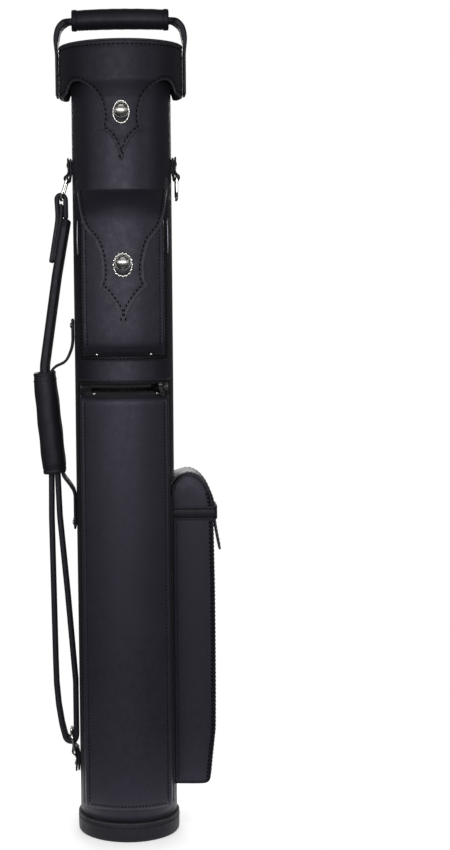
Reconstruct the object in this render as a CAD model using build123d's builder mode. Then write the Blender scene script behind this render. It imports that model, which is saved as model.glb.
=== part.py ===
from build123d import *
import math
import os

# A leather cue case that holds two butts and four shafts. Millimetres, +Z up along the tube.
# Origin: centre of the base's underside. Front (pockets, locks) is -Y, the rear spine +Y,
# the carry handle and shoulder strap are at -X, and the side pocket is at +X.

os.makedirs("parts", exist_ok=True)

# ---- driving dimensions: the tube ----
TUBE_R = 53.0  # outside of the leather on the tube
WRAP_T = 2.0  # leather on the tube
SHELL_T = 3.5  # rigid tube under the leather
BORE_R = TUBE_R - WRAP_T - SHELL_T  # inside of the rigid tube
TUBE_TOP = 834.0  # top of the rigid tube
MOUTH_TOP = 838.0  # top of the bound edge round the mouth
BASE_FLOOR = 3.0  # leather floor of the base cap
ON_TUBE = TUBE_R + 0.1  # inside radius of a piece sewn on the tube

# ---- inside: the cue tubes and the plates that hold them ----
BUTT_R = 18.0  # outside of a butt tube
SHAFT_R = 12.5  # outside of a shaft tube
CUE_TUBE_T = 1.0
BUTT_X = 29.0  # butt tube axes
SHAFT_X, SHAFT_Y = 12.9, 31.5  # shaft tube axes
PLUG_TOP = 13.0
PLATE_T = 8.0
PAD_T = 4.0
SNUG = 0.05  # clearance of a push fit

# ---- base cap ----
CAP_R = 55.4
CAP_TOP = 21.5

# ---- lid ----
LID_R = 65.5  # outside of the lid's leather
LID_TOP = 848.0
LID_EDGE = 808.0  # lower edge of the lid's wall, and height of the hinge line
EAR_BOTTOM = 794.0
EAR_X = 57.0  # inner edge of the side ears
LID_SKIN_T = 1.9
LID_SHELL_R = 63.5
LID_SHELL_T = 2.5
LINING_R = 60.0
HINGE_GAP = 1.2  # rear tab's top below the hinge line

# ---- push-button locks, measured outward from the plate's back ----
LID_PLATE, FLAP_PLATE = (18.6, 25.5), (21.5, 26.5)  # widths and heights
PLATE_DEPTH = 2.7
BUTTON_R = 7.2
BUTTON_RISE = 3.0
BUTTON_UP = 2.7  # the button sits above the plate's centre
CATCH_DEPTH = 2.8  # lock body behind the plate
STUD_R = 2.5
STUD_IN = 1.5  # how far the stud reaches into the lock body
LID_LOCK_Z, LID_LOCK_BACK = 773.9, 59.65
LID_STUD_Z = 777.5
FLAP_LOCK_Z, FLAP_LOCK_BACK = 616.5, 74.5

# ---- upper pocket and its flap ----
UP_R, UP_HALF, UP_BOTTOM, UP_TOP = 70.0, 43.0, 519.0, 663.0
FLAP_FOLD_Z = 681.0
FLAP_IN, FLAP_OUT = 71.0, 74.4

# ---- lower pocket ----
LOW_R, LOW_HALF, LOW_BOTTOM, LOW_TOP = 72.0, 46.5, 37.0, 478.0
LOW_SEAM = 493.5  # top seam on the tube
WALL = 2.0  # pocket walls
POCKET_BACK, POCKET_REACH = 18.0, 80.0  # where a front pocket's sides end, and beyond its front
ZIP_R = 62.5  # radius of the zip's chain about the tube's axis
ZIP_HALF_ANGLE = 32.0
TOOTH_COUNT = 27
PULL_PIN_Z, PULL_DROOP, PULL_LENGTH = 6.8, 22.0, 14.0

# ---- side pocket ----
SIDE_OUT, SIDE_FACE = 94.8, 93.6  # outer face below and at the belt
SIDE_HALF = 25.5
SIDE_Y = 4.5  # the pocket sits a little behind the tube's middle
SIDE_BOTTOM = 55.0
ARCH_X, ARCH_Z, ARCH_R = 73.4, 374.0, 19.6
BELT_LOW, BELT_HIGH = 343.0, 358.4
BELT_T = 1.8
FLAP_GAP, FLAP_T = 0.5, 2.2
TONGUE_HALF, TONGUE_LOW = 17.0, 309.0

# ---- D-rings, straps and handles ----
WIRE_R = 1.5
RING_HALF = 15.0
RING_DROP, RING_CORNER = 23.0, 8.0
RING_X = 58.2  # bar axis from the tube's axis
STRAP_W = 26.0
RING_STRAP_W, RING_GAP = 20.0, 0.8  # strap round a left ring, and its clearance on the wire
MAX_BEND = 60.0
UPPER_RING_Z, LOWER_RING_Z = 710.0, 88.0
LEFT_RING_TILT = 18.0
LOWER_RING_TILT = 10.0
SLEEVE_LOW = (-76.2, 395.0)
SLEEVE_HIGH = (-86.2, 504.0)
SLEEVE_W, SLEEVE_T = 48.0, 24.6
SLOT_T, SLOT_AT = 17.6, 1.1  # the sleeve's slot and how far it sits towards the tube
MAIN_T, MAIN_AT = 10.8, 0.8  # padded main strap
LOOP_T, OUTER_AT, INNER_AT = 6.0, -3.9, 2.7  # doubled lower loop
LOOP_SLACK = 6.5  # how far the loop hangs below the ring it passes through
TAB_T = 5.0  # folded tab at the top of the shoulder strap
HANDLE_AT = 8.0
TAIL = 21.5  # sewn tail of a ring's tab, from the bar
GRIP_Z, GRIP_R, GRIP_HALF = 877.0, 10.7, 51.5


def save(piece, name):
    """Label a finished piece and write it."""
    piece.part.label = name
    export_step(piece.part, f"parts/{name}.step")


def pipe(outer, inner, low, high):
    """An upright ring about the tube's axis."""
    with BuildPart() as ring:
        with BuildSketch(Plane.XY.offset(low)):
            Circle(outer)
            Circle(inner, mode=Mode.SUBTRACT)
        extrude(amount=high - low)
    return ring


def turned(points):
    """A solid of revolution about the tube's axis from an (radius, height) outline."""
    with BuildPart() as body:
        with BuildSketch(Plane.XZ):
            with BuildLine():
                Polyline(*points, close=True)
            make_face()
        revolve(axis=Axis.Z)
    return body


def wedge(half_angle, reach):
    """Corners of a triangle that opens from the tube's axis towards the front."""
    x = reach * math.sin(math.radians(half_angle))
    y = reach * math.cos(math.radians(half_angle))
    return [(0, 0), (-x, -y), (x, -y)]


def bend_radii(points):
    """The largest bend that fits at each inner point of a path, up to MAX_BEND."""
    corners = [Vector(*point) for point in points]
    radii = []
    for before, at, after in zip(corners, corners[1:], corners[2:]):
        turn = math.radians((at - before).get_angle(after - at))
        shorter = min((at - before).length, (after - at).length)
        radii.append(min(MAX_BEND, 0.49 * shorter / math.tan(turn / 2)))
    return radii


def strap(path_points, thickness, width):
    """A flat strap: its path in the XZ plane, its width along Y."""
    with BuildPart() as body:
        with BuildSketch(Plane.XZ):
            with BuildLine():
                FilletPolyline(*path_points, radius=bend_radii(path_points))
            trace(line_width=thickness)
        extrude(amount=width / 2, both=True)
    return body


# ------------------------------------------------------------------ tube and interior


def make_tube():
    shell = pipe(TUBE_R - WRAP_T, BORE_R, BASE_FLOOR + 0.1, TUBE_TOP)
    save(shell, "outer_shell")
    wrap = pipe(TUBE_R, TUBE_R - WRAP_T, BASE_FLOOR + 0.1, TUBE_TOP)
    save(wrap, "leather_wrap")
    with BuildPart() as trim:
        with BuildSketch(Plane.XY.offset(TUBE_TOP)):
            Circle(TUBE_R + 0.2)
            Circle(BORE_R + 0.1, mode=Mode.SUBTRACT)
        extrude(amount=MOUTH_TOP - TUBE_TOP)
        fillet(trim.edges().group_by(Axis.Z)[-1], radius=1.8)
    save(trim, "mouth_binding")
    with BuildPart() as plug:
        with BuildSketch(Plane.XY.offset(BASE_FLOOR + 0.1)):
            Circle(BORE_R - SNUG)
        extrude(amount=PLUG_TOP - BASE_FLOOR - 0.1)
    save(plug, "base_plug")


def cue_tube_axes():
    """Centres and outside radii: two butts, then four shafts."""
    butts = [((x, 0), BUTT_R) for x in (-BUTT_X, BUTT_X)]
    corners = [(-1, -1), (1, -1), (-1, 1), (1, 1)]
    shafts = [((x * SHAFT_X, y * SHAFT_Y), SHAFT_R) for x, y in corners]
    return butts + shafts


def make_divider_plate(name, low):
    """A plate with a hole for each cue tube."""
    with BuildPart() as plate:
        with BuildSketch(Plane.XY.offset(low)):
            Circle(BORE_R - SNUG)
            for centre, radius in cue_tube_axes():
                with Locations(centre):
                    Circle(radius + SNUG, mode=Mode.SUBTRACT)
        extrude(amount=PLATE_T)
    save(plate, name)


def make_interior():
    make_divider_plate("divider_top_plate", TUBE_TOP - PLATE_T)
    make_divider_plate("divider_bottom_plate", PLUG_TOP + 0.1)
    pad_low = PLUG_TOP + 0.1
    tube_low = pad_low + PAD_T + 0.1
    names = ["butt_tube_left", "butt_tube_right"]
    names += [f"shaft_tube_{number}" for number in range(1, 5)]
    for name, (centre, radius) in zip(names, cue_tube_axes()):
        with BuildPart() as cue_tube:
            with BuildSketch(Plane.XY.offset(tube_low)):
                with Locations(centre):
                    Circle(radius)
                    Circle(radius - CUE_TUBE_T, mode=Mode.SUBTRACT)
            extrude(amount=TUBE_TOP - tube_low)
        save(cue_tube, name)
    with BuildPart() as pads:
        with BuildSketch(Plane.XY.offset(pad_low)):
            for centre, radius in cue_tube_axes():
                with Locations(centre):
                    Circle(radius)
        extrude(amount=PAD_T)
    save(pads, "cue_end_pads")


def make_base_and_spine():
    with BuildPart() as cap:
        with BuildSketch(Plane.XY):
            Circle(CAP_R)
        extrude(amount=CAP_TOP)
        fillet(cap.edges().group_by(Axis.Z)[0], radius=2.0)
        with BuildSketch(Plane.XY.offset(BASE_FLOOR)):
            Circle(ON_TUBE)
        extrude(amount=CAP_TOP, mode=Mode.SUBTRACT)
    save(cap, "base_cap")
    with BuildPart() as cap_strip:
        with BuildSketch(Plane.XY.offset(3)):
            Circle(CAP_R + 1.4)
            Circle(CAP_R + 0.1, mode=Mode.SUBTRACT)
            with Locations((0, CAP_R)):
                Rectangle(17, 20, mode=Mode.INTERSECT)
        extrude(amount=CAP_TOP - 3)
    save(cap_strip, "base_cap_strip")
    with BuildPart() as spine:
        with BuildSketch(Plane.XY.offset(CAP_TOP + 0.5)):
            Circle(TUBE_R + 1.5)
            Circle(ON_TUBE, mode=Mode.SUBTRACT)
            with Locations((0, TUBE_R)):
                Rectangle(27, 20, mode=Mode.INTERSECT)
        extrude(amount=720 - CAP_TOP - 0.5)
    save(spine, "spine_strip")


# ------------------------------------------------------------------ lid, hinge tab and lid lock


def tab_silhouette(top, plane_side):
    """The spade-shaped tab seen from the front, from the lid's edge down to its tip."""
    with BuildSketch(Plane.XZ) as outline:
        with BuildLine():
            shoulder = Spline(
                (43, top), (31, top - 9), (22.5, 783), tangents=((-1, -0.1), (-0.2, -1))
            )
            waist = Line(shoulder @ 1, (20.8, 772))
            barb = Spline(waist @ 1, (21.6, 764), (24.6, 757.5), tangents=((0, -1), (1, -1)))
            tip = ThreePointArc(barb @ 1, (9.5, 747), (0.6, 725))
            Line(tip @ 1, (0, 725))
            Line((0, 725), (0, top))
            Line((0, top), (43, top))
        make_face()
        mirror(about=Plane.YZ)
    return extrude(outline.sketch, amount=plane_side * 80, mode=Mode.PRIVATE)


def make_lid():
    with BuildPart() as shell:
        add(pipe(LID_SHELL_R, LID_SHELL_R - LID_SHELL_T, LID_EDGE, LID_TOP - 2))
        with BuildSketch(Plane.XY.offset(LID_TOP - 5)):
            Circle(LID_SHELL_R - 0.5)
        extrude(amount=3)
    save(shell, "lid_shell")

    with BuildPart() as lining:
        with BuildSketch(Plane.XY.offset(LID_EDGE)):
            Circle(LINING_R + 0.9)
        extrude(amount=LID_TOP - 5.1 - LID_EDGE)
        with BuildSketch(Plane.XY.offset(LID_EDGE)):
            Circle(LINING_R)
        extrude(amount=LID_TOP - 6.5 - LID_EDGE, mode=Mode.SUBTRACT)
    save(lining, "lid_lining")

    with BuildPart() as cover:
        add(pipe(LID_R, LID_R - LID_SKIN_T, EAR_BOTTOM, LID_TOP - 2))
        with BuildSketch(Plane.XZ):
            with BuildLine():
                ear_edge = Line((EAR_X, EAR_BOTTOM - 5), (EAR_X, EAR_BOTTOM + 4))
                arch = Spline(ear_edge @ 1, (48.5, LID_EDGE), tangents=((0, 1), (-1, 0)))
                Line(arch @ 1, (0, LID_EDGE))
                Line((0, LID_EDGE), (0, EAR_BOTTOM - 5))
                Line((0, EAR_BOTTOM - 5), ear_edge @ 0)
            make_face()
            mirror(about=Plane.YZ)
        extrude(amount=LID_R + 10, both=True, mode=Mode.SUBTRACT)
    save(cover, "lid_cover")

    with BuildPart() as top_disc:
        with BuildSketch(Plane.XY.offset(LID_TOP - 1.9)):
            Circle(LID_R)
        extrude(amount=1.9)
        fillet(top_disc.edges().group_by(Axis.Z)[-1], radius=1.2)
    save(top_disc, "lid_top_disc")

    front_tab_profile = [
        (62.0, 807.9), (65.5, 807.9), (62.6, 797), (59.6, 788), (59.6, 757), (57.4, 749),
        (57.4, 720), (54.2, 720), (54.2, 768), (55.2, 778), (57.0, 787), (59.6, 796),
    ]  # fmt: skip
    with BuildPart() as front_tab:
        add(turned(front_tab_profile))
        add(tab_silhouette(807.9, 1), mode=Mode.INTERSECT)
        with BuildSketch(Plane.XZ.offset(50)):
            with Locations((0, LID_LOCK_Z)):
                SlotOverall(22.4, 11.4, rotation=90)
        extrude(amount=20, mode=Mode.SUBTRACT)
    save(front_tab, "lid_front_tab")

    rear_top = LID_EDGE - HINGE_GAP
    rear_tab_profile = [
        (62.0, rear_top), (65.5, rear_top), (62.6, 796), (57.6, 783), (55.7, 775),
        (55.7, 720), (53.2, 720), (53.2, 775), (54.8, 782), (59.6, 796),
    ]  # fmt: skip
    with BuildPart() as rear_tab:
        add(turned(rear_tab_profile))
        add(tab_silhouette(rear_top, -1), mode=Mode.INTERSECT)
    save(rear_tab, "lid_rear_tab")

    with BuildPart() as rear_rivets:
        for x, z in ((-10.3, 762), (10.3, 762), (0, 745)):
            with Locations(Plane.XZ.offset(-55.8) * Location((x, z, 0), (180, 0, 0))):
                Cylinder(4.2, 1.0, align=(Align.CENTER, Align.CENTER, Align.MIN))
        fillet(rear_rivets.edges().group_by(Axis.Y)[-1], radius=0.7)
    save(rear_rivets, "rear_tab_rivets")


def make_lock(prefix, plate_size, centre_z, back, stud_z, stud_foot, slot_length):
    """A push-button lock facing -Y. `back` is the plate's back, `stud_foot` where its stud stands."""
    face = Plane.XZ.offset(back)
    lock_at = (0, centre_z)
    button_at = (0, centre_z + BUTTON_UP)
    with BuildPart() as plate:
        with BuildSketch(face):
            with Locations(lock_at):
                Ellipse(plate_size[0] / 2, plate_size[1] / 2)
        extrude(amount=PLATE_DEPTH)
        fillet(plate.edges().group_by(Axis.Y)[0], radius=1.0)
        with BuildSketch(face.offset(PLATE_DEPTH)):
            with Locations(button_at):
                Circle(BUTTON_R)
        extrude(amount=-PLATE_DEPTH, mode=Mode.SUBTRACT)
        with BuildSketch(face.offset(PLATE_DEPTH - 0.6)):
            with Locations(button_at):
                Circle(BUTTON_R + 0.5)
        extrude(amount=-PLATE_DEPTH + 0.6, mode=Mode.SUBTRACT)
        with BuildSketch(face.offset(-CATCH_DEPTH)):
            with Locations(lock_at):
                SlotOverall(22, 11, rotation=90)
        extrude(amount=CATCH_DEPTH)
        slot_middle = stud_z - slot_length / 2
        with BuildSketch(face.offset(-CATCH_DEPTH)):
            with Locations((0, slot_middle)):
                SlotOverall(slot_length + 2 * STUD_R + 1.2, 2 * STUD_R + 1.2, rotation=90)
        extrude(amount=CATCH_DEPTH - 0.8, mode=Mode.SUBTRACT)
    save(plate, f"{prefix}_lock_plate")

    with BuildPart() as button:
        with BuildSketch(face.offset(1.3)):
            with Locations(button_at):
                Circle(BUTTON_R + 0.42)
        extrude(amount=0.75)
        with BuildSketch(face.offset(1.3)):
            with Locations(button_at):
                Circle(BUTTON_R - 0.08)
        extrude(amount=2.0)
        dome_r = (BUTTON_R**2 + BUTTON_RISE**2) / (2 * BUTTON_RISE)
        dome_at = Plane.XZ.offset(back + 3.3 + BUTTON_RISE - dome_r)
        with Locations(dome_at * Location((*button_at, 0))):
            Sphere(dome_r)
        with BuildSketch(face.offset(1.3)):
            with Locations(button_at):
                Circle(BUTTON_R + 0.42)
        extrude(amount=BUTTON_RISE + 4, mode=Mode.INTERSECT)
        with BuildSketch(face.offset(2.05)):
            with Locations(button_at):
                Circle(BUTTON_R + 2)
                Circle(BUTTON_R - 0.08, mode=Mode.SUBTRACT)
        extrude(amount=BUTTON_RISE + 4, mode=Mode.SUBTRACT)
    save(button, f"{prefix}_lock_button")

    with BuildPart() as spring:
        with BuildSketch(face.offset(0.05)):
            with Locations(button_at):
                Circle(BUTTON_R - 1)
                Circle(BUTTON_R - 3, mode=Mode.SUBTRACT)
        extrude(amount=0.3)
    save(spring, f"{prefix}_lock_spring")

    stud_tip = back - CATCH_DEPTH + STUD_IN
    with BuildPart() as stud:
        with BuildSketch(Plane.XZ.offset(stud_foot)):
            with Locations((0, stud_z)):
                Circle(4.6)
        extrude(amount=0.8)
        with BuildSketch(Plane.XZ.offset(stud_foot)):
            with Locations((0, stud_z)):
                Circle(STUD_R)
        extrude(amount=stud_tip - stud_foot)
        chamfer(stud.edges().group_by(Axis.Y)[0], length=0.4)
    save(stud, f"{prefix}_lock_stud")


# ------------------------------------------------------------------ front pockets


def pocket_section(low, radius, half_width, corner, back_r):
    """Plan of a front pocket at height `low`: an arc in front, straight sides back to the tube."""
    with BuildSketch(Plane.XY.offset(low)) as section:
        Circle(radius)
        with Locations((0, -(POCKET_BACK + POCKET_REACH) / 2)):
            Rectangle(2 * half_width, POCKET_REACH - POCKET_BACK, mode=Mode.INTERSECT)
        fillet(section.vertices().group_by(Axis.Y)[0], radius=corner)
        Circle(back_r, mode=Mode.SUBTRACT)
    return section.sketch


def make_upper_pocket():
    slope = [
        (20, UP_BOTTOM), (56, UP_BOTTOM), (UP_R + 1, 529), (UP_R + 1, UP_TOP), (20, UP_TOP),
    ]  # fmt: skip
    inner_slope = [
        (20, UP_BOTTOM + 4), (57, UP_BOTTOM + 4), (UP_R, 532), (UP_R, UP_TOP + 5), (20, UP_TOP + 5),
    ]  # fmt: skip
    with BuildPart() as cavity:
        extrude(pocket_section(UP_BOTTOM, UP_R - WALL, UP_HALF - WALL, 3.5, ON_TUBE + 1.5), amount=200)
        add(turned(inner_slope), mode=Mode.INTERSECT)
    with BuildPart() as pocket:
        extrude(pocket_section(UP_BOTTOM, UP_R, UP_HALF, 5.0, ON_TUBE), amount=UP_TOP - UP_BOTTOM)
        add(turned(slope), mode=Mode.INTERSECT)
        flange = pocket_section(UP_BOTTOM - 2, ON_TUBE + 1.8, UP_HALF + 3.5, 0.5, ON_TUBE)
        extrude(flange, amount=UP_TOP - UP_BOTTOM + 2)
        add(cavity, mode=Mode.SUBTRACT)
    save(pocket, "upper_pocket_body")

    root_profile = [
        (ON_TUBE, 697), (55.6, 697), (58.6, 694), (67.2, FLAP_FOLD_Z + 0.8),
        (63.8, FLAP_FOLD_Z + 0.8), (56.6, 690), (ON_TUBE, 691),
    ]  # fmt: skip
    with BuildPart() as root:
        add(turned(root_profile))
        with BuildSketch(Plane.XZ):
            with Locations((0, 689)):
                Rectangle(94, 30)
        extrude(amount=80, mode=Mode.INTERSECT)
    save(root, "upper_pocket_flap_root")

    flap_profile = [
        (63.8, FLAP_FOLD_Z), (67.2, FLAP_FOLD_Z), (FLAP_OUT - 1.4, 675), (FLAP_OUT, 668),
        (FLAP_OUT, 550), (FLAP_IN, 550), (FLAP_IN, 667), (FLAP_IN - 2, 673),
    ]  # fmt: skip
    with BuildSketch(Plane.XZ) as flap_face:
        with BuildLine():
            side = Spline((46.6, FLAP_FOLD_Z), (41.8, 658), (30, 640.5), tangents=((-0.1, -1), (-1, -0.5)))
            neck = Spline(side @ 1, (22.8, 612), tangents=((-1, -0.5), (0, -1)))
            barb = Spline(neck @ 1, (22.8, 604), (25.6, 594.5), tangents=((0, -1), (1, -1)))
            tip = ThreePointArc(barb @ 1, (10, 580), (0.6, 556.7))
            Line(tip @ 1, (0, 556.7))
            Line((0, 556.7), (0, FLAP_FOLD_Z))
            Line((0, FLAP_FOLD_Z), side @ 0)
        make_face()
        mirror(about=Plane.YZ)
    face_block = extrude(flap_face.sketch, amount=90, mode=Mode.PRIVATE)
    with BuildPart() as flap:
        add(turned(flap_profile))
        add(face_block, mode=Mode.INTERSECT)
        with BuildSketch(Plane.XZ.offset(60)):
            with Locations((0, FLAP_LOCK_Z)):
                SlotOverall(22.4, 11.4, rotation=90)
        extrude(amount=20, mode=Mode.SUBTRACT)
    save(flap, "upper_pocket_flap")


def slope_point(radius):
    """Height of the lower pocket's sloping top at a radius."""
    share = (radius - ON_TUBE) / (LOW_R - ON_TUBE)
    return LOW_SEAM + (LOW_TOP - LOW_SEAM) * share


def make_lower_pocket():
    run, fall = LOW_R - ON_TUBE, LOW_SEAM - LOW_TOP
    slant = math.hypot(run, fall)
    drop = WALL * slant / run  # wall measured straight down through the slope
    outline = [
        (20, LOW_BOTTOM), (60, LOW_BOTTOM), (LOW_R + 1, 43), (LOW_R + 1, slope_point(LOW_R + 1)),
        (ON_TUBE, LOW_SEAM), (20, LOW_SEAM),
    ]  # fmt: skip
    hollow = [
        (20, LOW_BOTTOM + 3), (60, LOW_BOTTOM + 3), (LOW_R, 46), (LOW_R, slope_point(LOW_R) - drop),
        (ON_TUBE, LOW_SEAM - drop), (20, LOW_SEAM - drop),
    ]  # fmt: skip
    with BuildPart() as cavity:
        extrude(pocket_section(LOW_BOTTOM, LOW_R - WALL, LOW_HALF - WALL, 4.0, ON_TUBE + 1.5), amount=500)
        add(turned(hollow), mode=Mode.INTERSECT)
    with BuildPart() as pocket:
        extrude(pocket_section(LOW_BOTTOM, LOW_R, LOW_HALF, 6.0, ON_TUBE), amount=LOW_SEAM - LOW_BOTTOM)
        add(turned(outline), mode=Mode.INTERSECT)
        flange = pocket_section(LOW_BOTTOM - 2, ON_TUBE + 1.8, LOW_HALF + 2.0, 0.5, ON_TUBE)
        extrude(flange, amount=LOW_SEAM - LOW_BOTTOM)
        add(cavity, mode=Mode.SUBTRACT)
        with BuildSketch(Plane.XY.offset(LOW_TOP - 12)):
            Circle(ZIP_R + 4.5)
            Circle(ZIP_R - 4.5, mode=Mode.SUBTRACT)
            with BuildLine():
                Polyline(*wedge(ZIP_HALF_ANGLE + 3, 100), close=True)
            make_face(mode=Mode.INTERSECT)
        extrude(amount=40, mode=Mode.SUBTRACT)
    save(pocket, "lower_pocket_body")

    nx, nz = fall / slant, run / slant  # outward normal of the slope

    def above(radius, lift):
        return (radius + nx * lift, slope_point(radius) + nz * lift)

    with BuildPart() as tape:
        add(turned([above(56.5, 0.1), above(68.5, 0.1), above(68.5, 1.0), above(56.5, 1.0)]))
        with BuildSketch(Plane.XY.offset(LOW_TOP - 10)):
            with BuildLine():
                Polyline(*wedge(ZIP_HALF_ANGLE + 6, 100), close=True)
            make_face()
        extrude(amount=40, mode=Mode.INTERSECT)
    save(tape, "lower_pocket_zip_tape")

    chain_x, chain_z = above(ZIP_R, 1.1)
    step = 2 * ZIP_HALF_ANGLE / (TOOTH_COUNT - 1)
    with BuildPart() as teeth:
        for number in range(TOOTH_COUNT):
            turn = -90 - ZIP_HALF_ANGLE + number * step
            chain = slope_plane(turn, chain_x, chain_z)
            with Locations(chain):
                Box(1.5, 5.0, 1.5, align=(Align.CENTER, Align.CENTER, Align.MIN))
    save(teeth, "lower_pocket_zip_teeth")

    low = (Align.CENTER, Align.CENTER, Align.MIN)
    chain = slope_plane(-90 + ZIP_HALF_ANGLE + 1, chain_x, chain_z)
    with BuildPart() as slider:
        with Locations(chain * Location((0, 0, 0.2))):
            Box(11.0, 9.0, 3.4, align=low)
            Box(12.0, 6.4, 1.8, align=low, mode=Mode.SUBTRACT)
        for side in (-1, 1):
            with Locations(chain * Location((side * 3.4, 0, 3.0))):
                Box(1.6, 2.6, PULL_PIN_Z - 1.8, align=low)
        with Locations(chain * Location((0, 0, PULL_PIN_Z), (0, 90, 0))):
            Cylinder(0.9, 8.0)
    save(slider, "lower_pocket_zip_slider")

    hang = chain * Location((0, 0, PULL_PIN_Z), (PULL_DROOP, 0, 0))
    with BuildPart() as pull:
        with Locations(hang * Location((0, -PULL_LENGTH / 2 + 1, 0))):
            Box(4.4, PULL_LENGTH, 1.4)
        with Locations(hang * Location((0, 0, 0), (0, 90, 0))):
            Cylinder(2.0, 4.4)
            Cylinder(0.97, 6.0, mode=Mode.SUBTRACT)
        with Locations(hang * Location((0, -PULL_LENGTH + 3.6, 0))):
            Cylinder(1.3, 4.0, mode=Mode.SUBTRACT)
    save(pull, "lower_pocket_zip_pull")


def slope_plane(turn, radius, height):
    """A plane on the lower pocket's slope: x along the chain, y up the slope, z outward."""
    angle = math.radians(turn)
    out = Vector(math.cos(angle), math.sin(angle), 0)
    tilt = math.atan2(LOW_R - ON_TUBE, LOW_SEAM - LOW_TOP)
    normal = out * math.cos(tilt) + Vector(0, 0, math.sin(tilt))
    along = Vector(-math.sin(angle), math.cos(angle), 0)
    return Plane(origin=out * radius + Vector(0, 0, height), x_dir=along, z_dir=normal)


def make_pocket_rivets():
    """Small rivets at the corners of the pockets' top and bottom gussets."""
    with BuildPart() as rivets:
        for side in (-1, 1):
            with Locations(slope_plane(-90 + side * 41, ZIP_R + 1, slope_point(ZIP_R) + 1)):
                Cylinder(1.9, 1.2, align=(Align.CENTER, Align.CENTER, Align.MIN))
            angle = math.radians(-90 + side * 27)
            out = Vector(math.cos(angle), math.sin(angle), 0)
            under = Plane(origin=out * 63.4 + Vector(0, 0, 523.6), z_dir=out * 0.54 + Vector(0, 0, -0.84))
            with Locations(under):
                Cylinder(1.9, 1.2, align=(Align.CENTER, Align.CENTER, Align.MIN))
    save(rivets, "pocket_corner_rivets")


# ------------------------------------------------------------------ side pocket


def side_outline(grow, low):
    """Outline of the side pocket in XZ, with its arched top, grown or shrunk all round."""
    face, out = SIDE_FACE + grow, SIDE_OUT + grow
    with BuildSketch(Plane.XZ.offset(-SIDE_Y)) as outline:
        with BuildLine():
            arch = ThreePointArc(
                (ARCH_X - ARCH_R - grow, ARCH_Z),
                (ARCH_X, ARCH_Z + ARCH_R + grow),
                (ARCH_X + ARCH_R + grow, ARCH_Z),
            )
            front = Polyline(arch @ 1, (face, 305), (out, 270), (out, 115), (89 + grow, low + 4))
            toe = ThreePointArc(front @ 1, (86.5 + grow, low + 1.2), (82 + grow, low))
            Polyline(toe @ 1, (40, low), (40, ARCH_Z), arch @ 0)
        make_face()
    return outline.sketch


def make_side_pocket():
    middle = Plane.XZ.offset(-SIDE_Y)
    with BuildPart() as pocket:
        extrude(side_outline(0, SIDE_BOTTOM), amount=SIDE_HALF, both=True)
        with BuildSketch(Plane.XY.offset(SIDE_BOTTOM - 5)):
            Circle(ON_TUBE)
        extrude(amount=400, mode=Mode.SUBTRACT)
        hollow = side_outline(-WALL, SIDE_BOTTOM + WALL)
        extrude(hollow, amount=SIDE_HALF - WALL, both=True, mode=Mode.SUBTRACT)
        with BuildSketch(Plane.XY.offset(ARCH_Z)):
            with Locations((80, SIDE_Y)):
                Rectangle(60, 2 * (SIDE_HALF - WALL))
        extrude(amount=60, mode=Mode.SUBTRACT)
        with BuildSketch(Plane.XY.offset(SIDE_BOTTOM)):
            with Locations((50, SIDE_Y)):
                Rectangle(2 * (55.4 - 50), 2 * SIDE_HALF)
            Circle(ON_TUBE, mode=Mode.SUBTRACT)
        extrude(amount=ARCH_Z - SIDE_BOTTOM)
    save(pocket, "side_pocket_body")

    inner = ARCH_R + FLAP_GAP
    outer = inner + FLAP_T
    tongue_in, tongue_out, root_x = ARCH_X + inner + 0.4, ARCH_X + outer + 0.4, ARCH_X - inner + 0.3
    with BuildPart() as flap:
        with BuildSketch(middle):
            with BuildLine():
                inside = ThreePointArc((root_x, ARCH_Z), (ARCH_X, ARCH_Z + inner), (tongue_in, ARCH_Z))
                Polyline(inside @ 1, (tongue_in, TONGUE_LOW), (tongue_out, TONGUE_LOW), (tongue_out, ARCH_Z))
                over = (ARCH_X + 2, ARCH_Z + outer)
                outside = ThreePointArc((tongue_out, ARCH_Z), over, (root_x, ARCH_Z + 9))
                Line(outside @ 1, inside @ 0)
            make_face()
        extrude(amount=SIDE_HALF, both=True)
        with BuildSketch(Plane.YZ.offset(85)):
            for side in (-1, 1):
                with Locations((SIDE_Y + side * SIDE_HALF, 330)):
                    Rectangle(2 * (SIDE_HALF - TONGUE_HALF), 61)
        extrude(amount=30, mode=Mode.SUBTRACT)
    save(flap, "side_pocket_flap")

    belt_x = SIDE_FACE + 0.3
    with BuildPart() as belt:
        with BuildSketch(Plane.XY.offset(BELT_LOW)):
            with Locations((belt_x - 20, SIDE_Y)):
                RectangleRounded(40 + 2 * BELT_T, 2 * (SIDE_HALF + BELT_T + 0.3), 2.0)
            with Locations((tongue_out + 0.3 - 8, SIDE_Y)):
                RectangleRounded(16 + 2 * BELT_T, 2 * (TONGUE_HALF + BELT_T + 1), 2.0)
                Rectangle(16, 2 * (TONGUE_HALF + 1), mode=Mode.SUBTRACT)
            with Locations((belt_x - 30, SIDE_Y)):
                Rectangle(60, 2 * (SIDE_HALF + 0.3), mode=Mode.SUBTRACT)
            Circle(ON_TUBE, mode=Mode.SUBTRACT)
        extrude(amount=BELT_HIGH - BELT_LOW)
    save(belt, "side_pocket_belt")


# ------------------------------------------------------------------ rings, straps and handles


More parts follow.
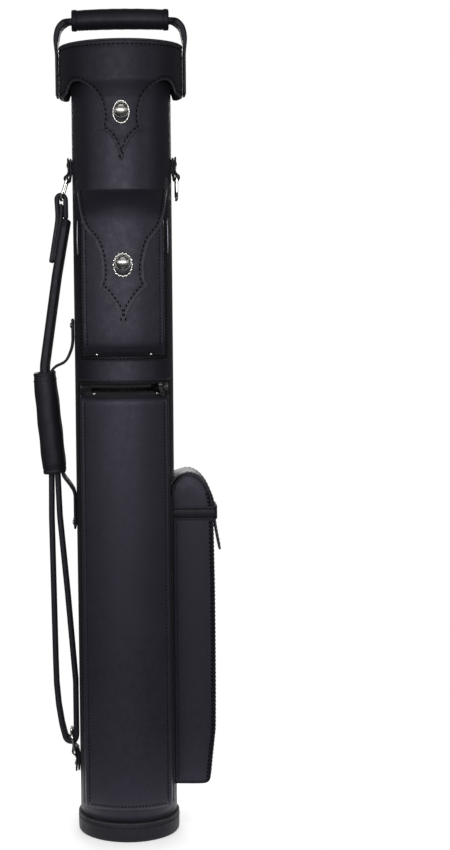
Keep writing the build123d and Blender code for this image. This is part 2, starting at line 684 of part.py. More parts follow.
def d_ring(bar_x, bar_z, swing, name):
    """A ring about a bar along Y at (bar_x, bar_z), hanging down, swung outward by `swing` degrees."""
    angle = math.radians(swing)
    flat = Plane(origin=(bar_x, 0, bar_z), x_dir=(0, 1, 0), z_dir=(math.cos(angle), 0, -math.sin(angle)))
    corners = [(RING_HALF, 0), (RING_HALF, -RING_DROP), (-RING_HALF, -RING_DROP), (-RING_HALF, 0)]
    with BuildPart() as ring:
        with BuildLine(flat):
            path = FilletPolyline(*corners, radius=[2.2, RING_CORNER, RING_CORNER, 2.2], close=True)
        with BuildSketch(Plane(origin=path @ 0, z_dir=path % 0)):
            Circle(WIRE_R)
        sweep()
    save(ring, name)


def ring_tab(side, bar_z, direction, name):
    """A leather loop round a ring's bar, with its sewn tail above (1) or below (-1) it."""
    bar_x = side * RING_X
    inner_x, outer_x = side * (TUBE_R + 0.4), side * 57.4
    near, far = bar_z + direction * 3, bar_z + direction * TAIL
    with BuildPart() as tab:
        with BuildSketch(Plane.XZ):
            with BuildLine():
                Polyline((inner_x, near), (outer_x, near), (outer_x, far), (inner_x, far), close=True)
            make_face()
            with Locations((bar_x, bar_z)):
                Circle(WIRE_R + 2.3)
                Circle(WIRE_R + 0.06, mode=Mode.SUBTRACT)
        extrude(amount=11, both=True)
        with BuildSketch(Plane.XY.offset(bar_z - 40)):
            Circle(ON_TUBE)
        extrude(amount=80, mode=Mode.SUBTRACT)
    save(tab, name)


def make_rings():
    ring_tab(-1, UPPER_RING_Z, 1, "ring_tab_upper_left")
    ring_tab(1, UPPER_RING_Z, 1, "ring_tab_upper_right")
    ring_tab(-1, LOWER_RING_Z, -1, "ring_tab_lower_left")
    d_ring(-RING_X, UPPER_RING_Z, LEFT_RING_TILT, "d_ring_upper_left")
    d_ring(RING_X, UPPER_RING_Z, 0, "d_ring_upper_right")
    d_ring(-RING_X, LOWER_RING_Z, 180 - LOWER_RING_TILT, "d_ring_lower_left")


def arc_end(bar_z, swing):
    """Centre of a left ring's wire at the middle of its arc."""
    angle = math.radians(swing)
    return (-RING_X - RING_DROP * math.sin(angle), bar_z - RING_DROP * math.cos(angle))


def in_sleeve(z, offset):
    """A point at height z beside the sleeve's axis; a positive offset is towards the tube."""
    share = (z - SLEEVE_LOW[1]) / (SLEEVE_HIGH[1] - SLEEVE_LOW[1])
    return (SLEEVE_LOW[0] + (SLEEVE_HIGH[0] - SLEEVE_LOW[0]) * share + offset, z)


def make_shoulder_strap():
    hook_x, hook_z = arc_end(UPPER_RING_Z, LEFT_RING_TILT)
    main_path = [(-60.1, 667.5), (-71.0, 607), in_sleeve(508, MAIN_AT), in_sleeve(455, MAIN_AT)]
    main = strap(main_path, MAIN_T, STRAP_W + 10)
    save(main, "shoulder_strap_main")

    turn = WIRE_R + RING_GAP + TAB_T / 2
    fold_in = [(hook_x + turn, 668.6), (hook_x + turn, hook_z + turn)]
    fold_out = [(hook_x - turn, hook_z + turn), (-68.9, 668), (-76.8, 621)]
    top_tab = strap(fold_in + fold_out, TAB_T, RING_STRAP_W)
    save(top_tab, "shoulder_strap_top_tab")

    low_x, low_z = arc_end(LOWER_RING_Z, 180 - LOWER_RING_TILT)
    bend = WIRE_R + RING_GAP + LOOP_T / 2
    outer = [in_sleeve(449, OUTER_AT), in_sleeve(392, OUTER_AT), (-80.4, 347), (-79.2, 250), (-78.4, 190)]
    curl = [(-77.8, 163), (-75.8, 139), (-72.4, 117)]
    bottom = low_z - bend - LOOP_SLACK
    around = [(low_x - bend - 0.4, bottom), (low_x + bend, bottom)]
    inner = [(-56.9, 165), (-64.4, 264), (-71.6, 347), in_sleeve(392, INNER_AT), in_sleeve(449, INNER_AT)]
    loop = strap(outer + curl + around + inner, LOOP_T, RING_STRAP_W)
    save(loop, "shoulder_strap_lower_loop")


def make_side_handle():
    low, high = Vector(SLEEVE_LOW[0], 0, SLEEVE_LOW[1]), Vector(SLEEVE_HIGH[0], 0, SLEEVE_HIGH[1])
    axis = (high - low).normalized()
    across = Plane(origin=low, x_dir=(0, 1, 0), z_dir=axis)
    with BuildPart() as grip:
        with BuildSketch(across):
            SlotOverall(SLEEVE_W, SLEEVE_T)
        extrude(amount=(high - low).length)
        slot_plane = Plane(origin=low + Vector(SLOT_AT, 0, 0), x_dir=(0, 1, 0), z_dir=axis)
        with BuildSketch(slot_plane.offset(-3)):
            Rectangle(STRAP_W + 10.8, SLOT_T)
        extrude(amount=(high - low).length + 6, mode=Mode.SUBTRACT)
    save(grip, "side_handle_grip")

    upper = [(-54.8, 561), (-54.8, 531), (-62.5, 514.5), (-73.0, 510.5), in_sleeve(505.5, HANDLE_AT)]
    lower = [in_sleeve(392.5, HANDLE_AT), (-60.5, 383), (-54.8, 374), (-54.8, 334)]
    handle = strap(upper + lower, 2.8, STRAP_W)
    save(handle, "side_handle_strap")

    low_side = (Align.CENTER, Align.CENTER, Align.MIN)
    with BuildPart() as rivets:
        for y, z in ((-7, 554), (7, 554), (-7, 341), (7, 341)):
            with Locations(Location((-56.3, y, z), (0, -90, 0))):
                Cylinder(3.2, 1.2, align=low_side)
        for side, z in ((-1, 725), (1, 725), (-1, 72)):
            with Locations(Location((side * 57.5, 0, z), (0, side * 90, 0))):
                Cylinder(3.2, 1.2, align=low_side)
    save(rivets, "strap_rivets")


def make_top_handle():
    left = [(-67.6, 796.5), (-67.6, 840), (-69.6, 858), (-66.5, 870), (-58, GRIP_Z)]
    right = [(-x, z) for x, z in reversed(left)]
    with BuildPart() as handle_strap:
        add(strap(left + right, 3.2, STRAP_W))
        with BuildSketch(Plane.XY.offset(780)):
            Rectangle(160, 15)
            for sign in (-1, 1):
                with Locations((sign * 80, 0)):
                    Rectangle(2 * (80 - 58), STRAP_W)
        extrude(amount=120, mode=Mode.INTERSECT)
    save(handle_strap, "top_handle_strap")

    with BuildPart() as grip:
        with BuildSketch(Plane.YZ.offset(-GRIP_HALF + 5.6)):
            with Locations((0, GRIP_Z)):
                Circle(GRIP_R)
                Rectangle(15.6, 3.8, mode=Mode.SUBTRACT)
        extrude(amount=2 * (GRIP_HALF - 5.6))
    save(grip, "top_handle_grip")
    with BuildPart() as bands:
        for start in (-GRIP_HALF, GRIP_HALF - 5.5):
            with BuildSketch(Plane.YZ.offset(start)):
                with Locations((0, GRIP_Z)):
                    Circle(GRIP_R + 0.5)
                    Rectangle(15.6, 3.8, mode=Mode.SUBTRACT)
            extrude(amount=5.5)
    save(bands, "top_handle_bands")


make_tube()
make_interior()
make_base_and_spine()
make_lid()
make_lock("lid", LID_PLATE, LID_LOCK_Z, LID_LOCK_BACK, LID_STUD_Z, TUBE_R + 0.1, 10.5)
make_upper_pocket()
make_lock("flap", FLAP_PLATE, FLAP_LOCK_Z, FLAP_LOCK_BACK, FLAP_LOCK_Z, UP_R + 0.05, 0.6)
make_lower_pocket()
make_pocket_rivets()
make_side_pocket()
make_rings()
make_shoulder_strap()
make_side_handle()
make_top_handle()
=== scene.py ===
import itertools
import math

import bmesh
import bpy
import numpy as np
from mathutils import Euler, Matrix, Vector
from mathutils.geometry import delaunay_2d_cdt


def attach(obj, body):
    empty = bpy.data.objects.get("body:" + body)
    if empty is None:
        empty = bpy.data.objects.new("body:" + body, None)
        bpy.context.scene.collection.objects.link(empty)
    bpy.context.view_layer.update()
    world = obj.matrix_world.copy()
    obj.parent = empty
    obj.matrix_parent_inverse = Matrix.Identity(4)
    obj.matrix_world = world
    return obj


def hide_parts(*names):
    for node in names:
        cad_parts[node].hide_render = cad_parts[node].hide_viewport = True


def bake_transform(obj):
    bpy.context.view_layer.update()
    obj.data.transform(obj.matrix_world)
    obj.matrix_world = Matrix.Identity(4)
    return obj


# A leather cue case. Lengths in this script are millimetres; pieces are scaled to metres as they are made.
# Front is -Y, the side pocket is at +X, the carry handle and shoulder strap are at -X.

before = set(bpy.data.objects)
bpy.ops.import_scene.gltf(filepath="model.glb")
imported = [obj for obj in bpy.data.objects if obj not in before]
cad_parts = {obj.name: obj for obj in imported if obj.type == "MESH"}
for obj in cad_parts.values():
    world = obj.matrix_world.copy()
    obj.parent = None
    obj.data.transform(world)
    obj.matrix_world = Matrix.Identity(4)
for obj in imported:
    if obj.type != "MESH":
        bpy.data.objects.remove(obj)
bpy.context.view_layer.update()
MM = 0.001
bpy.context.scene.view_settings.view_transform = "Standard"

TUBE_R, TUBE_TOP = 53.0, 833.8
LID_R, LID_EDGE = 65.5, 808.0
LID_BACK, LID_WALL_TOP = 63.6, 846.0


# ------------------------------------------------------------------ node materials


class Look:
    """A new material: its shader, object coordinates, and short ways to add nodes."""

    def __init__(self, name):
        self.made = bpy.data.materials.new(name)
        self.made.use_nodes = True
        self.tree = self.made.node_tree
        self.place = self.add("ShaderNodeTexCoord").outputs["Object"]

    def fill(self, node, inputs):
        """Links or sets each named input."""
        for key, value in inputs.items():
            if isinstance(value, bpy.types.NodeSocket):
                self.tree.links.new(value, node.inputs[key])
            else:
                node.inputs[key].default_value = value
        return node

    def add(self, kind, inputs=None, **values):
        node = self.tree.nodes.new(kind)
        for key, value in values.items():
            setattr(node, key, value)
        return self.fill(node, inputs or {})

    def noise(self, scale, detail=3.0, rough=0.55, where=None):
        where = self.place if where is None else where
        inputs = {"Scale": scale, "Detail": detail, "Roughness": rough, "Vector": where}
        return self.add("ShaderNodeTexNoise", inputs).outputs["Fac"]

    def ramp(self, value, *stops):
        made = self.add("ShaderNodeValToRGB", {"Fac": value})
        for element, (at, colour) in zip(made.color_ramp.elements, stops):
            element.position = at
            element.color = (*colour, 1.0)
        return made.outputs["Color"]

    def to_range(self, value, low, high, start=0.0, end=1.0):
        inputs = {"Value": value, "From Min": start, "From Max": end, "To Min": low, "To Max": high}
        return self.add("ShaderNodeMapRange", inputs).outputs["Result"]

    def bump(self, height, distance, strength, below=None):
        inputs = {"Strength": strength, "Distance": distance, "Height": height}
        if below is not None:
            inputs["Normal"] = below
        return self.add("ShaderNodeBump", inputs).outputs["Normal"]

    def product(self, first, second):
        return self.add("ShaderNodeMath", {0: first, 1: second}, operation="MULTIPLY").outputs[0]

    def mix(self, factor, first, second):
        """A mix of two colours, the second given as numbers."""
        inputs = {0: factor, 6: first, 7: (*second, 1.0)}
        return self.add("ShaderNodeMix", inputs, data_type="RGBA").outputs[2]

    def finish(self, **inputs):
        """Sets the shader's inputs, with _ for a space, and hands back the material."""
        shader = self.tree.nodes["Principled BSDF"]
        self.fill(shader, {key.replace("_", " "): value for key, value in inputs.items()})
        return self.made


def darker(colour, share):
    return tuple(share * v for v in colour)


def leather(name, dark, light, edge_wear_and_highlight, rough=(0.40, 0.55), grain=1.0, gloss=0.36, coat=0.05):
    """Smooth finished leather: fine pores, soft creases, a burnished cut edge, whose colour can also carry
    a painted highlight along the border.
    """
    look = Look(name)
    cloud, mottle = look.noise(14.0, 4.0), look.noise(140.0)
    tone = look.ramp(cloud, (0.32, dark), (0.70, light))
    tone = look.mix(look.to_range(mottle, 0.0, 0.35, 0.45, 0.75), tone, darker(dark, 0.72))
    edge = look.add("ShaderNodeAttribute", attribute_name="edge").outputs["Fac"]
    rub = look.to_range(look.noise(260.0, 2.0), 0.55, 1.0, 0.35, 0.6)
    tone = look.mix(look.product(edge, rub), tone, edge_wear_and_highlight)
    pore_inputs = {"Scale": 1150.0, "Smoothness": 0.35, "Vector": look.place}
    pores = look.add("ShaderNodeTexVoronoi", pore_inputs, feature="SMOOTH_F1")
    fold_inputs = {"Scale": 420.0, "Vector": look.place}
    fold = look.add("ShaderNodeTexVoronoi", fold_inputs, feature="DISTANCE_TO_EDGE")
    crease = look.to_range(fold.outputs["Distance"], 0.0, 1.0, 0.0, 0.09)
    normal = look.bump(cloud, 0.0012, 0.10)
    normal = look.bump(crease, 0.00012, 0.16 * grain, normal)
    normal = look.bump(pores.outputs["Distance"], 0.00022, 0.34 * grain, normal)
    return look.finish(
        Base_Color=tone,
        Roughness=look.to_range(mottle, rough[0], rough[1], 0.3, 0.7),
        Specular_IOR_Level=gloss,
        Specular_Tint=(0.83, 0.79, 1.0, 1.0),
        Coat_Weight=coat,
        Coat_Roughness=0.38,
        Sheen_Weight=0.03,
        Normal=normal,
    )


def thread(name, colour, rough):
    """Waxed stitching thread: a fine twist along each stitch."""
    look = Look(name)
    fuzz = look.noise(1800.0)
    return look.finish(
        Base_Color=look.ramp(fuzz, (0.3, darker(colour, 0.6)), (0.75, colour)),
        Roughness=look.to_range(fuzz, rough - 0.1, rough + 0.15),
        Specular_IOR_Level=0.12,
        Normal=look.bump(fuzz, 0.0002, 0.5),
    )


def nickel(name, colour, rough):
    """Polished plated metal with faint smears and hairline scratches."""
    look = Look(name)
    smear = look.noise(90.0)
    stretched = look.add("ShaderNodeMapping", {"Scale": (2600.0, 2600.0, 160.0), "Vector": look.place})
    hair = look.noise(1.0, 2.0, where=stretched.outputs["Vector"])
    return look.finish(
        Base_Color=look.ramp(smear, (0.3, darker(colour, 0.82)), (0.7, colour)),
        Metallic=1.0,
        Roughness=look.to_range(smear, rough * 0.7, rough * 1.5, 0.3, 0.7),
        Normal=look.bump(hair, 0.00002, 0.25),
    )


def felt(name, dark, light):
    """Short-pile lining cloth."""
    look = Look(name)
    pile = look.noise(1400.0, 5.0, 0.7)
    tone = look.ramp(look.noise(45.0), (0.3, dark), (0.7, light))
    return look.finish(
        Base_Color=look.mix(look.to_range(pile, 0.0, 0.6, 0.4, 0.8), tone, dark),
        Roughness=0.92,
        Sheen_Weight=0.35,
        Sheen_Roughness=0.5,
        Normal=look.bump(pile, 0.0006, 0.55),
    )


def moulded(name, dark, light, rough):
    """Moulded plastic with a spark-eroded texture."""
    look = Look(name)
    fine = look.noise(900.0, 4.0, 0.65)
    return look.finish(
        Base_Color=look.ramp(look.noise(30.0, 2.0), (0.3, dark), (0.7, light)),
        Roughness=look.to_range(fine, rough - 0.08, rough + 0.1),
        Normal=look.bump(fine, 0.0001, 0.4),
    )


def woven(name, dark, light):
    """Herringbone zip tape."""
    look = Look(name)
    threads = []
    for direction, scale, distortion in (("X", 480.0, 0.6), ("DIAGONAL", 380.0, 0.4)):
        inputs = {"Scale": scale, "Distortion": distortion, "Vector": look.place}
        wave = look.add("ShaderNodeTexWave", inputs, bands_direction=direction)
        threads.append(wave.outputs["Fac"])
    both = look.product(*threads)
    return look.finish(
        Base_Color=look.ramp(both, (0.0, dark), (0.9, light)),
        Roughness=0.8,
        Normal=look.bump(both, 0.0003, 0.6),
    )


BODY_TONES = (0.0070, 0.0066, 0.0112), (0.0110, 0.0103, 0.0165)
LID_TONES = (0.0060, 0.0056, 0.0090), (0.0095, 0.0090, 0.0135)
TRIM_TONES = (0.0050, 0.0048, 0.0064), (0.0078, 0.0074, 0.0096)
STRAP_TONES = (0.0050, 0.0047, 0.0064), (0.0080, 0.0075, 0.0098)
EDGE_TONES = (0.0080, 0.0076, 0.0088), (0.0140, 0.0132, 0.0150)
GLOSS_TONES = (0.0090, 0.0086, 0.0100), (0.0140, 0.0132, 0.0150)
PALE_WEAR = (0.042, 0.040, 0.048)
LID = leather("leather_lid", *LID_TONES, PALE_WEAR, (0.42, 0.57), gloss=0.27)
BODY = leather("leather_body", *BODY_TONES, PALE_WEAR)
# The flap's edge colour is far paler than the body's: burnished wear plus a painted highlight along the
# flap's border.
FLAP = leather("leather_flap_edge_highlight", *BODY_TONES, (0.120, 0.117, 0.132))
TRIM = leather("leather_trim", *TRIM_TONES, (0.030, 0.028, 0.032), (0.44, 0.60), gloss=0.20)
STRAP = leather("leather_strap", *STRAP_TONES, (0.0075, 0.0070, 0.0080), (0.44, 0.60), 1.3, 0.26)
EDGE = leather("leather_edge", *EDGE_TONES, (0.045, 0.042, 0.046), (0.36, 0.48), 0.6)
GLOSS = leather("leather_glazed", *GLOSS_TONES, (0.060, 0.058, 0.060), (0.08, 0.14), 0.3, 0.5, 1.0)
THREAD = thread("waxed_thread", (0.0016, 0.0015, 0.0018), 0.80)
NICKEL = nickel("polished_nickel", (0.64, 0.63, 0.60), 0.17)
GUNMETAL = nickel("worn_gunmetal", (0.26, 0.26, 0.27), 0.26)
STEEL = nickel("spring_steel", (0.55, 0.55, 0.56), 0.30)
BUTTON = nickel("brushed_nickel", (0.36, 0.35, 0.33), 0.22)
# Black metal of the zip's teeth and slider, also used as painted shade in the lock plates' recesses.
BLACK_METAL_AND_PAINTED_SHADE = nickel("black_metal_and_painted_shade", (0.022, 0.022, 0.025), 0.42)
FELT = felt("felt_lining", (0.020, 0.020, 0.026), (0.034, 0.034, 0.042))
SHELL = moulded("shell_board", (0.016, 0.016, 0.018), (0.024, 0.024, 0.027), 0.55)
LINER = moulded("cue_tube_plastic", (0.018, 0.018, 0.021), (0.028, 0.028, 0.032), 0.45)
TAPE = woven("zip_tape_weave", (0.006, 0.006, 0.007), (0.022, 0.022, 0.025))


# ------------------------------------------------------------------ mesh helpers


def piece(name, verts, faces, skin, body, slot="leather", edge=None, merge=0.0):
    """A smooth-shaded mesh in the row frame, riding on a body. verts are millimetres."""
    mesh = bpy.data.meshes.new(name)
    mesh.from_pydata([tuple(v) for v in np.asarray(verts, float) * MM], [], faces)
    if edge is not None:
        mark = mesh.attributes.new("edge", "FLOAT", "POINT")
        mark.data.foreach_set("value", np.asarray(edge, np.float32))
    work = bmesh.new()
    work.from_mesh(mesh)
    if merge:
        bmesh.ops.remove_doubles(work, verts=work.verts, dist=merge * MM)
    bmesh.ops.recalc_face_normals(work, faces=work.faces)
    for face in work.faces:
        face.smooth = True
    work.to_mesh(mesh)
    work.free()
    mesh.materials.append(skin)
    made = bpy.data.objects.new(name, mesh)
    bpy.context.scene.collection.objects.link(made)
    if body:
        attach(made, body)
    return made


def thicken(made, thick, offset=-1):
    """Gives a single-sided piece a real thickness, behind its face by default."""
    wall = made.modifiers.new("wall", "SOLIDIFY")
    wall.thickness = thick * MM
    wall.offset = offset


def turns(sides):
    """Angles evenly spaced round a circle."""
    return [2 * math.pi * i / sides for i in range(sides)]


def wear(gap, fade=0.9):
    """How burnished leather is at a distance from its cut edge."""
    return math.exp(-((gap / fade) ** 2))


def tangents(path):
    """Unit tangents along a path."""
    run = np.gradient(path, axis=0)
    return run / np.linalg.norm(run, axis=1)[:, None]


def left_of(path):
    """Unit normals to the left of a 2-D path."""
    run = tangents(path)
    return np.column_stack([-run[:, 1], run[:, 0]])


def join_meshes(parts):
    """Several (verts, faces) as one."""
    verts, faces, start = [], [], 0
    for some_verts, some_faces in parts:
        verts.extend(some_verts)
        faces.extend([tuple(start + i for i in face) for face in some_faces])
        start += len(some_verts)
    return verts, faces


def skin_rings(rings, closed=True, capped=False, looped=False):
    """Quads between rings of equal length."""
    count = len(rings[0])
    verts = [point for ring in rings for point in ring]
    faces = []
    steps = len(rings) if looped else len(rings) - 1
    turns = count if closed else count - 1
    for row in range(steps):
        low, high = row * count, (row + 1) % len(rings) * count
        for i in range(turns):
            j = (i + 1) % count
            faces.append((low + i, low + j, high + j, high + i))
    if capped:
        faces.append(tuple(range(count))[::-1])
        faces.append(tuple(range(len(verts) - count, len(verts))))
    return verts, faces


LARGEST_BEND = 60.0


def arc_path(points, step=2.0):
    """A path of straight runs with each corner rounded by the largest arc that fits, evenly divided."""
    corners = [np.array(point, float) for point in points]
    out = [corners[0]]
    for before, at, after in zip(corners, corners[1:], corners[2:]):
        into, away = at - before, after - at
        run_in, run_out = np.linalg.norm(into), np.linalg.norm(away)
        into, away = into / run_in, away / run_out
        turn = math.acos(max(-1.0, min(1.0, float(into @ away))))
        if turn < 1e-3:
            out.append(at)
            continue
        radius = min(LARGEST_BEND, 0.49 * min(run_in, run_out) / math.tan(turn / 2))
        back = radius * math.tan(turn / 2)
        first, last = at - into * back, at + away * back
        inward = away - into * float(into @ away)
        inward /= np.linalg.norm(inward)
        centre = first + inward * radius
        parts = max(3, int(turn * radius / step) + 1)
        for k in range(parts + 1):
            spin = turn * k / parts
            out.append(centre - inward * radius * math.cos(spin) + into * radius * math.sin(spin))
        out[-1] = last
    out.append(corners[-1])
    return resample(out, step)


def resample(points, step):
    points = np.array(points, float)
    gaps = np.linalg.norm(np.diff(points, axis=0), axis=1)
    keep = np.concatenate([[True], gaps > 1e-6])
    points = points[keep]
    along = np.concatenate([[0], np.cumsum(np.linalg.norm(np.diff(points, axis=0), axis=1))])
    parts = max(2, int(round(along[-1] / step)))
    at = np.linspace(0, along[-1], parts + 1)
    return np.column_stack([np.interp(at, along, points[:, i]) for i in range(points.shape[1])])


def spline(points, step=1.0):
    """A smooth curve through points, evenly divided."""
    points = np.array(points, float)
    ext = np.vstack([2 * points[0] - points[1], points, 2 * points[-1] - points[-2]])
    out = []
    for a, b, c, d in zip(ext, ext[1:], ext[2:], ext[3:]):
        for t in np.linspace(0, 1, 24, endpoint=False):
            square, cube = 2 * a - 5 * b + 4 * c - d, 3 * b - a - 3 * c + d
            out.append(0.5 * (2 * b + (c - a) * t + square * t * t + cube * t**3))
    out.append(points[-1])
    return resample(out, step)


def smooth_step(value, low, high):
    share = np.clip((np.asarray(value, float) - low) / (high - low), 0, 1)
    return share * share * (3 - 2 * share)


def edge_distance(points, starts, ends):
    """Distance of each point from the nearest of some straight runs."""
    best = np.full(len(points), 1e9)
    for start in range(0, len(starts), 64):
        a, b = starts[start : start + 64], ends[start : start + 64]
        run = b - a
        size = np.maximum((run**2).sum(axis=1), 1e-12)
        away = points[:, None, :] - a[None]
        share = np.clip((away * run[None]).sum(axis=2) / size[None], 0, 1)
        gap = np.linalg.norm(away - share[..., None] * run[None], axis=2)
        best = np.minimum(best, gap.min(axis=1))
    return best


CREASE_INSET = 2.0


def cut_profile(gap, thick, groove):
    """Height of a piece of leather above its back, at a distance from its cut edge."""
    rounding = np.clip(gap / 1.1, 0, 1)
    lift = thick * (0.42 + 0.58 * np.sqrt(1 - (1 - rounding) ** 2))
    lift -= 0.30 * np.exp(-(((gap - CREASE_INSET) / 0.45) ** 2))
    if groove:
        lift -= 0.28 * np.exp(-(((gap - groove) / 0.7) ** 2))
    return lift


EDGE_DEPTHS = (0.35, 0.9, 1.6, 2.1, 2.7, 3.6, 4.5)


def panel(name, outline, place, thick, skin, body, spacing=3.2, groove=3.6, seam=None, merge=0.0):
    """A piece of sheet leather cut to an outline, laid on a surface by place(u, v, lift)."""
    outline = np.array(outline, float)
    after = np.roll(outline, -1, axis=0)
    real = np.ones(len(outline), bool)
    if seam is not None:
        real = ~(seam(outline) & seam(after))
    tangent = after - np.roll(outline, 1, axis=0)
    area = 0.5 * np.sum(outline[:, 0] * after[:, 1] - after[:, 0] * outline[:, 1])
    inward = np.column_stack([-tangent[:, 1], tangent[:, 0]]) * (1 if area > 0 else -1)
    inward /= np.maximum(np.linalg.norm(inward, axis=1), 1e-9)[:, None]
    inside = [outline]
    for depth in EDGE_DEPTHS:
        ring = outline + inward * depth
        inside.append(ring[edge_distance(ring, outline, after) > depth * 0.93])
    low, high = outline.min(axis=0), outline.max(axis=0)
    grid = []
    for row, v in enumerate(np.arange(low[1] + spacing / 2, high[1], spacing * 0.87)):
        for u in np.arange(low[0] + (row % 2) * spacing / 2, high[0], spacing):
            grid.append((u, v))
    grid = np.array(grid)
    grid = grid[inside_outline(grid, outline)]
    inside.append(grid[edge_distance(grid, outline, after) > EDGE_DEPTHS[-1] + spacing * 0.4])
    flat = [Vector((float(u), float(v))) for u, v in np.vstack(inside)]
    verts, _, faces, _, _, _ = delaunay_2d_cdt(flat, [], [list(range(len(outline)))], 1, 1e-5)
    points = np.array([tuple(v) for v in verts], float)
    gap = edge_distance(points, outline[real], after[real])
    front = place(points[:, 0], points[:, 1], cut_profile(gap, thick, groove))
    back = place(points[:, 0], points[:, 1], np.zeros(len(points)))
    count = len(points)
    faces = [tuple(face) for face in faces]
    sides = dict.fromkeys(pair for face in faces for pair in zip(face, face[1:] + face[:1]))
    skins = faces + [tuple(count + i for i in face[::-1]) for face in faces]
    skins += [(b, a, count + a, count + b) for a, b in sides if (b, a) not in sides]
    marks = np.tile(np.exp(-((gap / 0.9) ** 2)), 2)
    return piece(name, np.vstack([front, back]), skins, skin, body, edge=marks, merge=merge)


def inside_outline(points, outline):
    """True for points inside a closed outline."""
    x, y = points[:, 0][:, None], points[:, 1][:, None]
    ax, ay = outline[:, 0][None], outline[:, 1][None]
    bx, by = np.roll(outline[:, 0], -1)[None], np.roll(outline[:, 1], -1)[None]
    spans = (ay > y) != (by > y)
    with np.errstate(divide="ignore", invalid="ignore"):
        cross = x < (bx - ax) * (y - ay) / (by - ay) + ax
    return (spans & cross).sum(axis=1) % 2 == 1


def turned(name, profile, skin, body, slot="leather", wobble=0.0, edge=None, sides=160):
    """A piece turned about the tube's axis from a (radius, height) profile."""
    rings = []
    for radius, height in profile:
        ring = []
        for spin in turns(sides):
            uneven = math.sin(3 * spin + height * 0.013) + 0.6 * math.sin(5 * spin - height * 0.021)
            r = radius + wobble * uneven
            ring.append((r * math.cos(spin), r * math.sin(spin), height))
        rings.append(ring)
    verts, faces = skin_rings(rings, looped=True)
    marks = None if edge is None else [value for value in edge for _ in range(sides)]
    return piece(name, verts, faces, skin, body, slot, marks)


STITCH_SIDES, STITCH_STATIONS = 6, (-1.0, -0.72, 0.0, 0.72, 1.0)
STITCH_END, STITCH_LEAN = 0.12, 0.16


def stitches(name, rows, body, pitch, length, width=0.85, height=0.55, lean=STITCH_LEAN):
    """Rows of separate stitches. Each row is (points, normals) along a surface."""
    parts = []
    for points, normals in rows:
        points, normals = np.array(points, float), np.array(normals, float)
        gaps = np.linalg.norm(np.diff(points, axis=0), axis=1)
        along = np.concatenate([[0], np.cumsum(gaps)])
        count = max(1, int(along[-1] // pitch))
        true_pitch = along[-1] / count
        for k in range(count):
            middle = (k + 0.5) * true_pitch
            ends = []
            for at in (middle - length / 2, middle + length / 2, middle):
                ends.append(np.array([np.interp(at, along, points[:, i]) for i in range(3)]))
            up = np.array([np.interp(middle, along, normals[:, i]) for i in range(3)])
            up /= np.linalg.norm(up)
            run = ends[1] - ends[0]
            if np.linalg.norm(run) < 0.4 * length:
                continue
            run /= np.linalg.norm(run)
            side = np.cross(up, run)
            side /= np.linalg.norm(side)
            run = run + side * lean
            run /= np.linalg.norm(run)
            side = np.cross(up, run)
            rings = []
            for t in STITCH_STATIONS:
                fat = math.sqrt(1 - t * t) if abs(t) < 1 else STITCH_END
                centre = ends[2] + run * t * length / 2 + up * (height * 0.30 * (1 - t * t) - 0.05)
                ring = []
                for s in turns(STITCH_SIDES):
                    across = side * math.cos(s) * width / 2 * fat
                    ring.append(centre + across + up * math.sin(s) * height / 2 * fat)
                rings.append(ring)
            parts.append(skin_rings(rings, capped=True))
    return piece(name, *join_meshes(parts), THREAD, body)


def around(radius, spin, height):
    """Point and outward normal on an upright cylinder; spin is radians from the front towards +X."""
    out = np.array([math.sin(spin), -math.cos(spin), 0.0])
    return out * radius + np.array([0, 0, height]), out


def cylinder_row(radius, spins, heights):
    """A stitch row on a cylinder."""
    pairs = [around(radius, a, h) for a, h in zip(spins, heights)]
    return [p for p, _ in pairs], [n for _, n in pairs]


def full_row(radius, height, count, up=False):
    """A stitch row right round a cylinder, facing outwards or up."""
    points, normals = cylinder_row(radius, np.linspace(0, 2 * math.pi, count), [height] * count)
    return points, [np.array([0, 0, 1.0])] * count if up else normals


def inset_path(path, inset):
    """An open 2-D path moved to its left by a distance, with crossings at sharp corners dropped."""
    path = np.array(path, float)
    tangent = np.gradient(path, axis=0)
    left = np.column_stack([-tangent[:, 1], tangent[:, 0]])
    left /= np.maximum(np.linalg.norm(left, axis=1), 1e-9)[:, None]
    moved = path + left * inset
    keep = edge_distance(moved, path[:-1], path[1:]) > abs(inset) * 0.96
    return moved[keep]


STITCH_INSET = 3.2


def strap_section(width, thick, edge_thick, crown):
    """Half-turn-symmetric section of a strap as (across, out) points, grooved where it is stitched."""
    half = width / 2
    stitched = half - STITCH_INSET
    across = [
        half, half - 0.35, half - 1.0, half - 2.0, stitched, stitched - 1.4, half * 0.62, half * 0.3,
        0.0,
    ]
    top = []
    for a in across:
        share = 1 - abs(a) / half
        level = edge_thick / 2 + (thick - edge_thick) / 2 * min(1.0, (share * half / crown)) ** 0.7
        if a > half - 0.2:
            level *= 0.35
        elif a > half - 0.8:
            level *= 0.80
        if a == stitched:
            level -= 0.22
        top.append((a, level))
    upper = top + [(-a, h) for a, h in reversed(top[:-1])]
    return upper + [(a, -h) for a, h in reversed(upper)]


STRAP_END_SQUEEZE, STRAP_PITCH = 0.55, 3.9


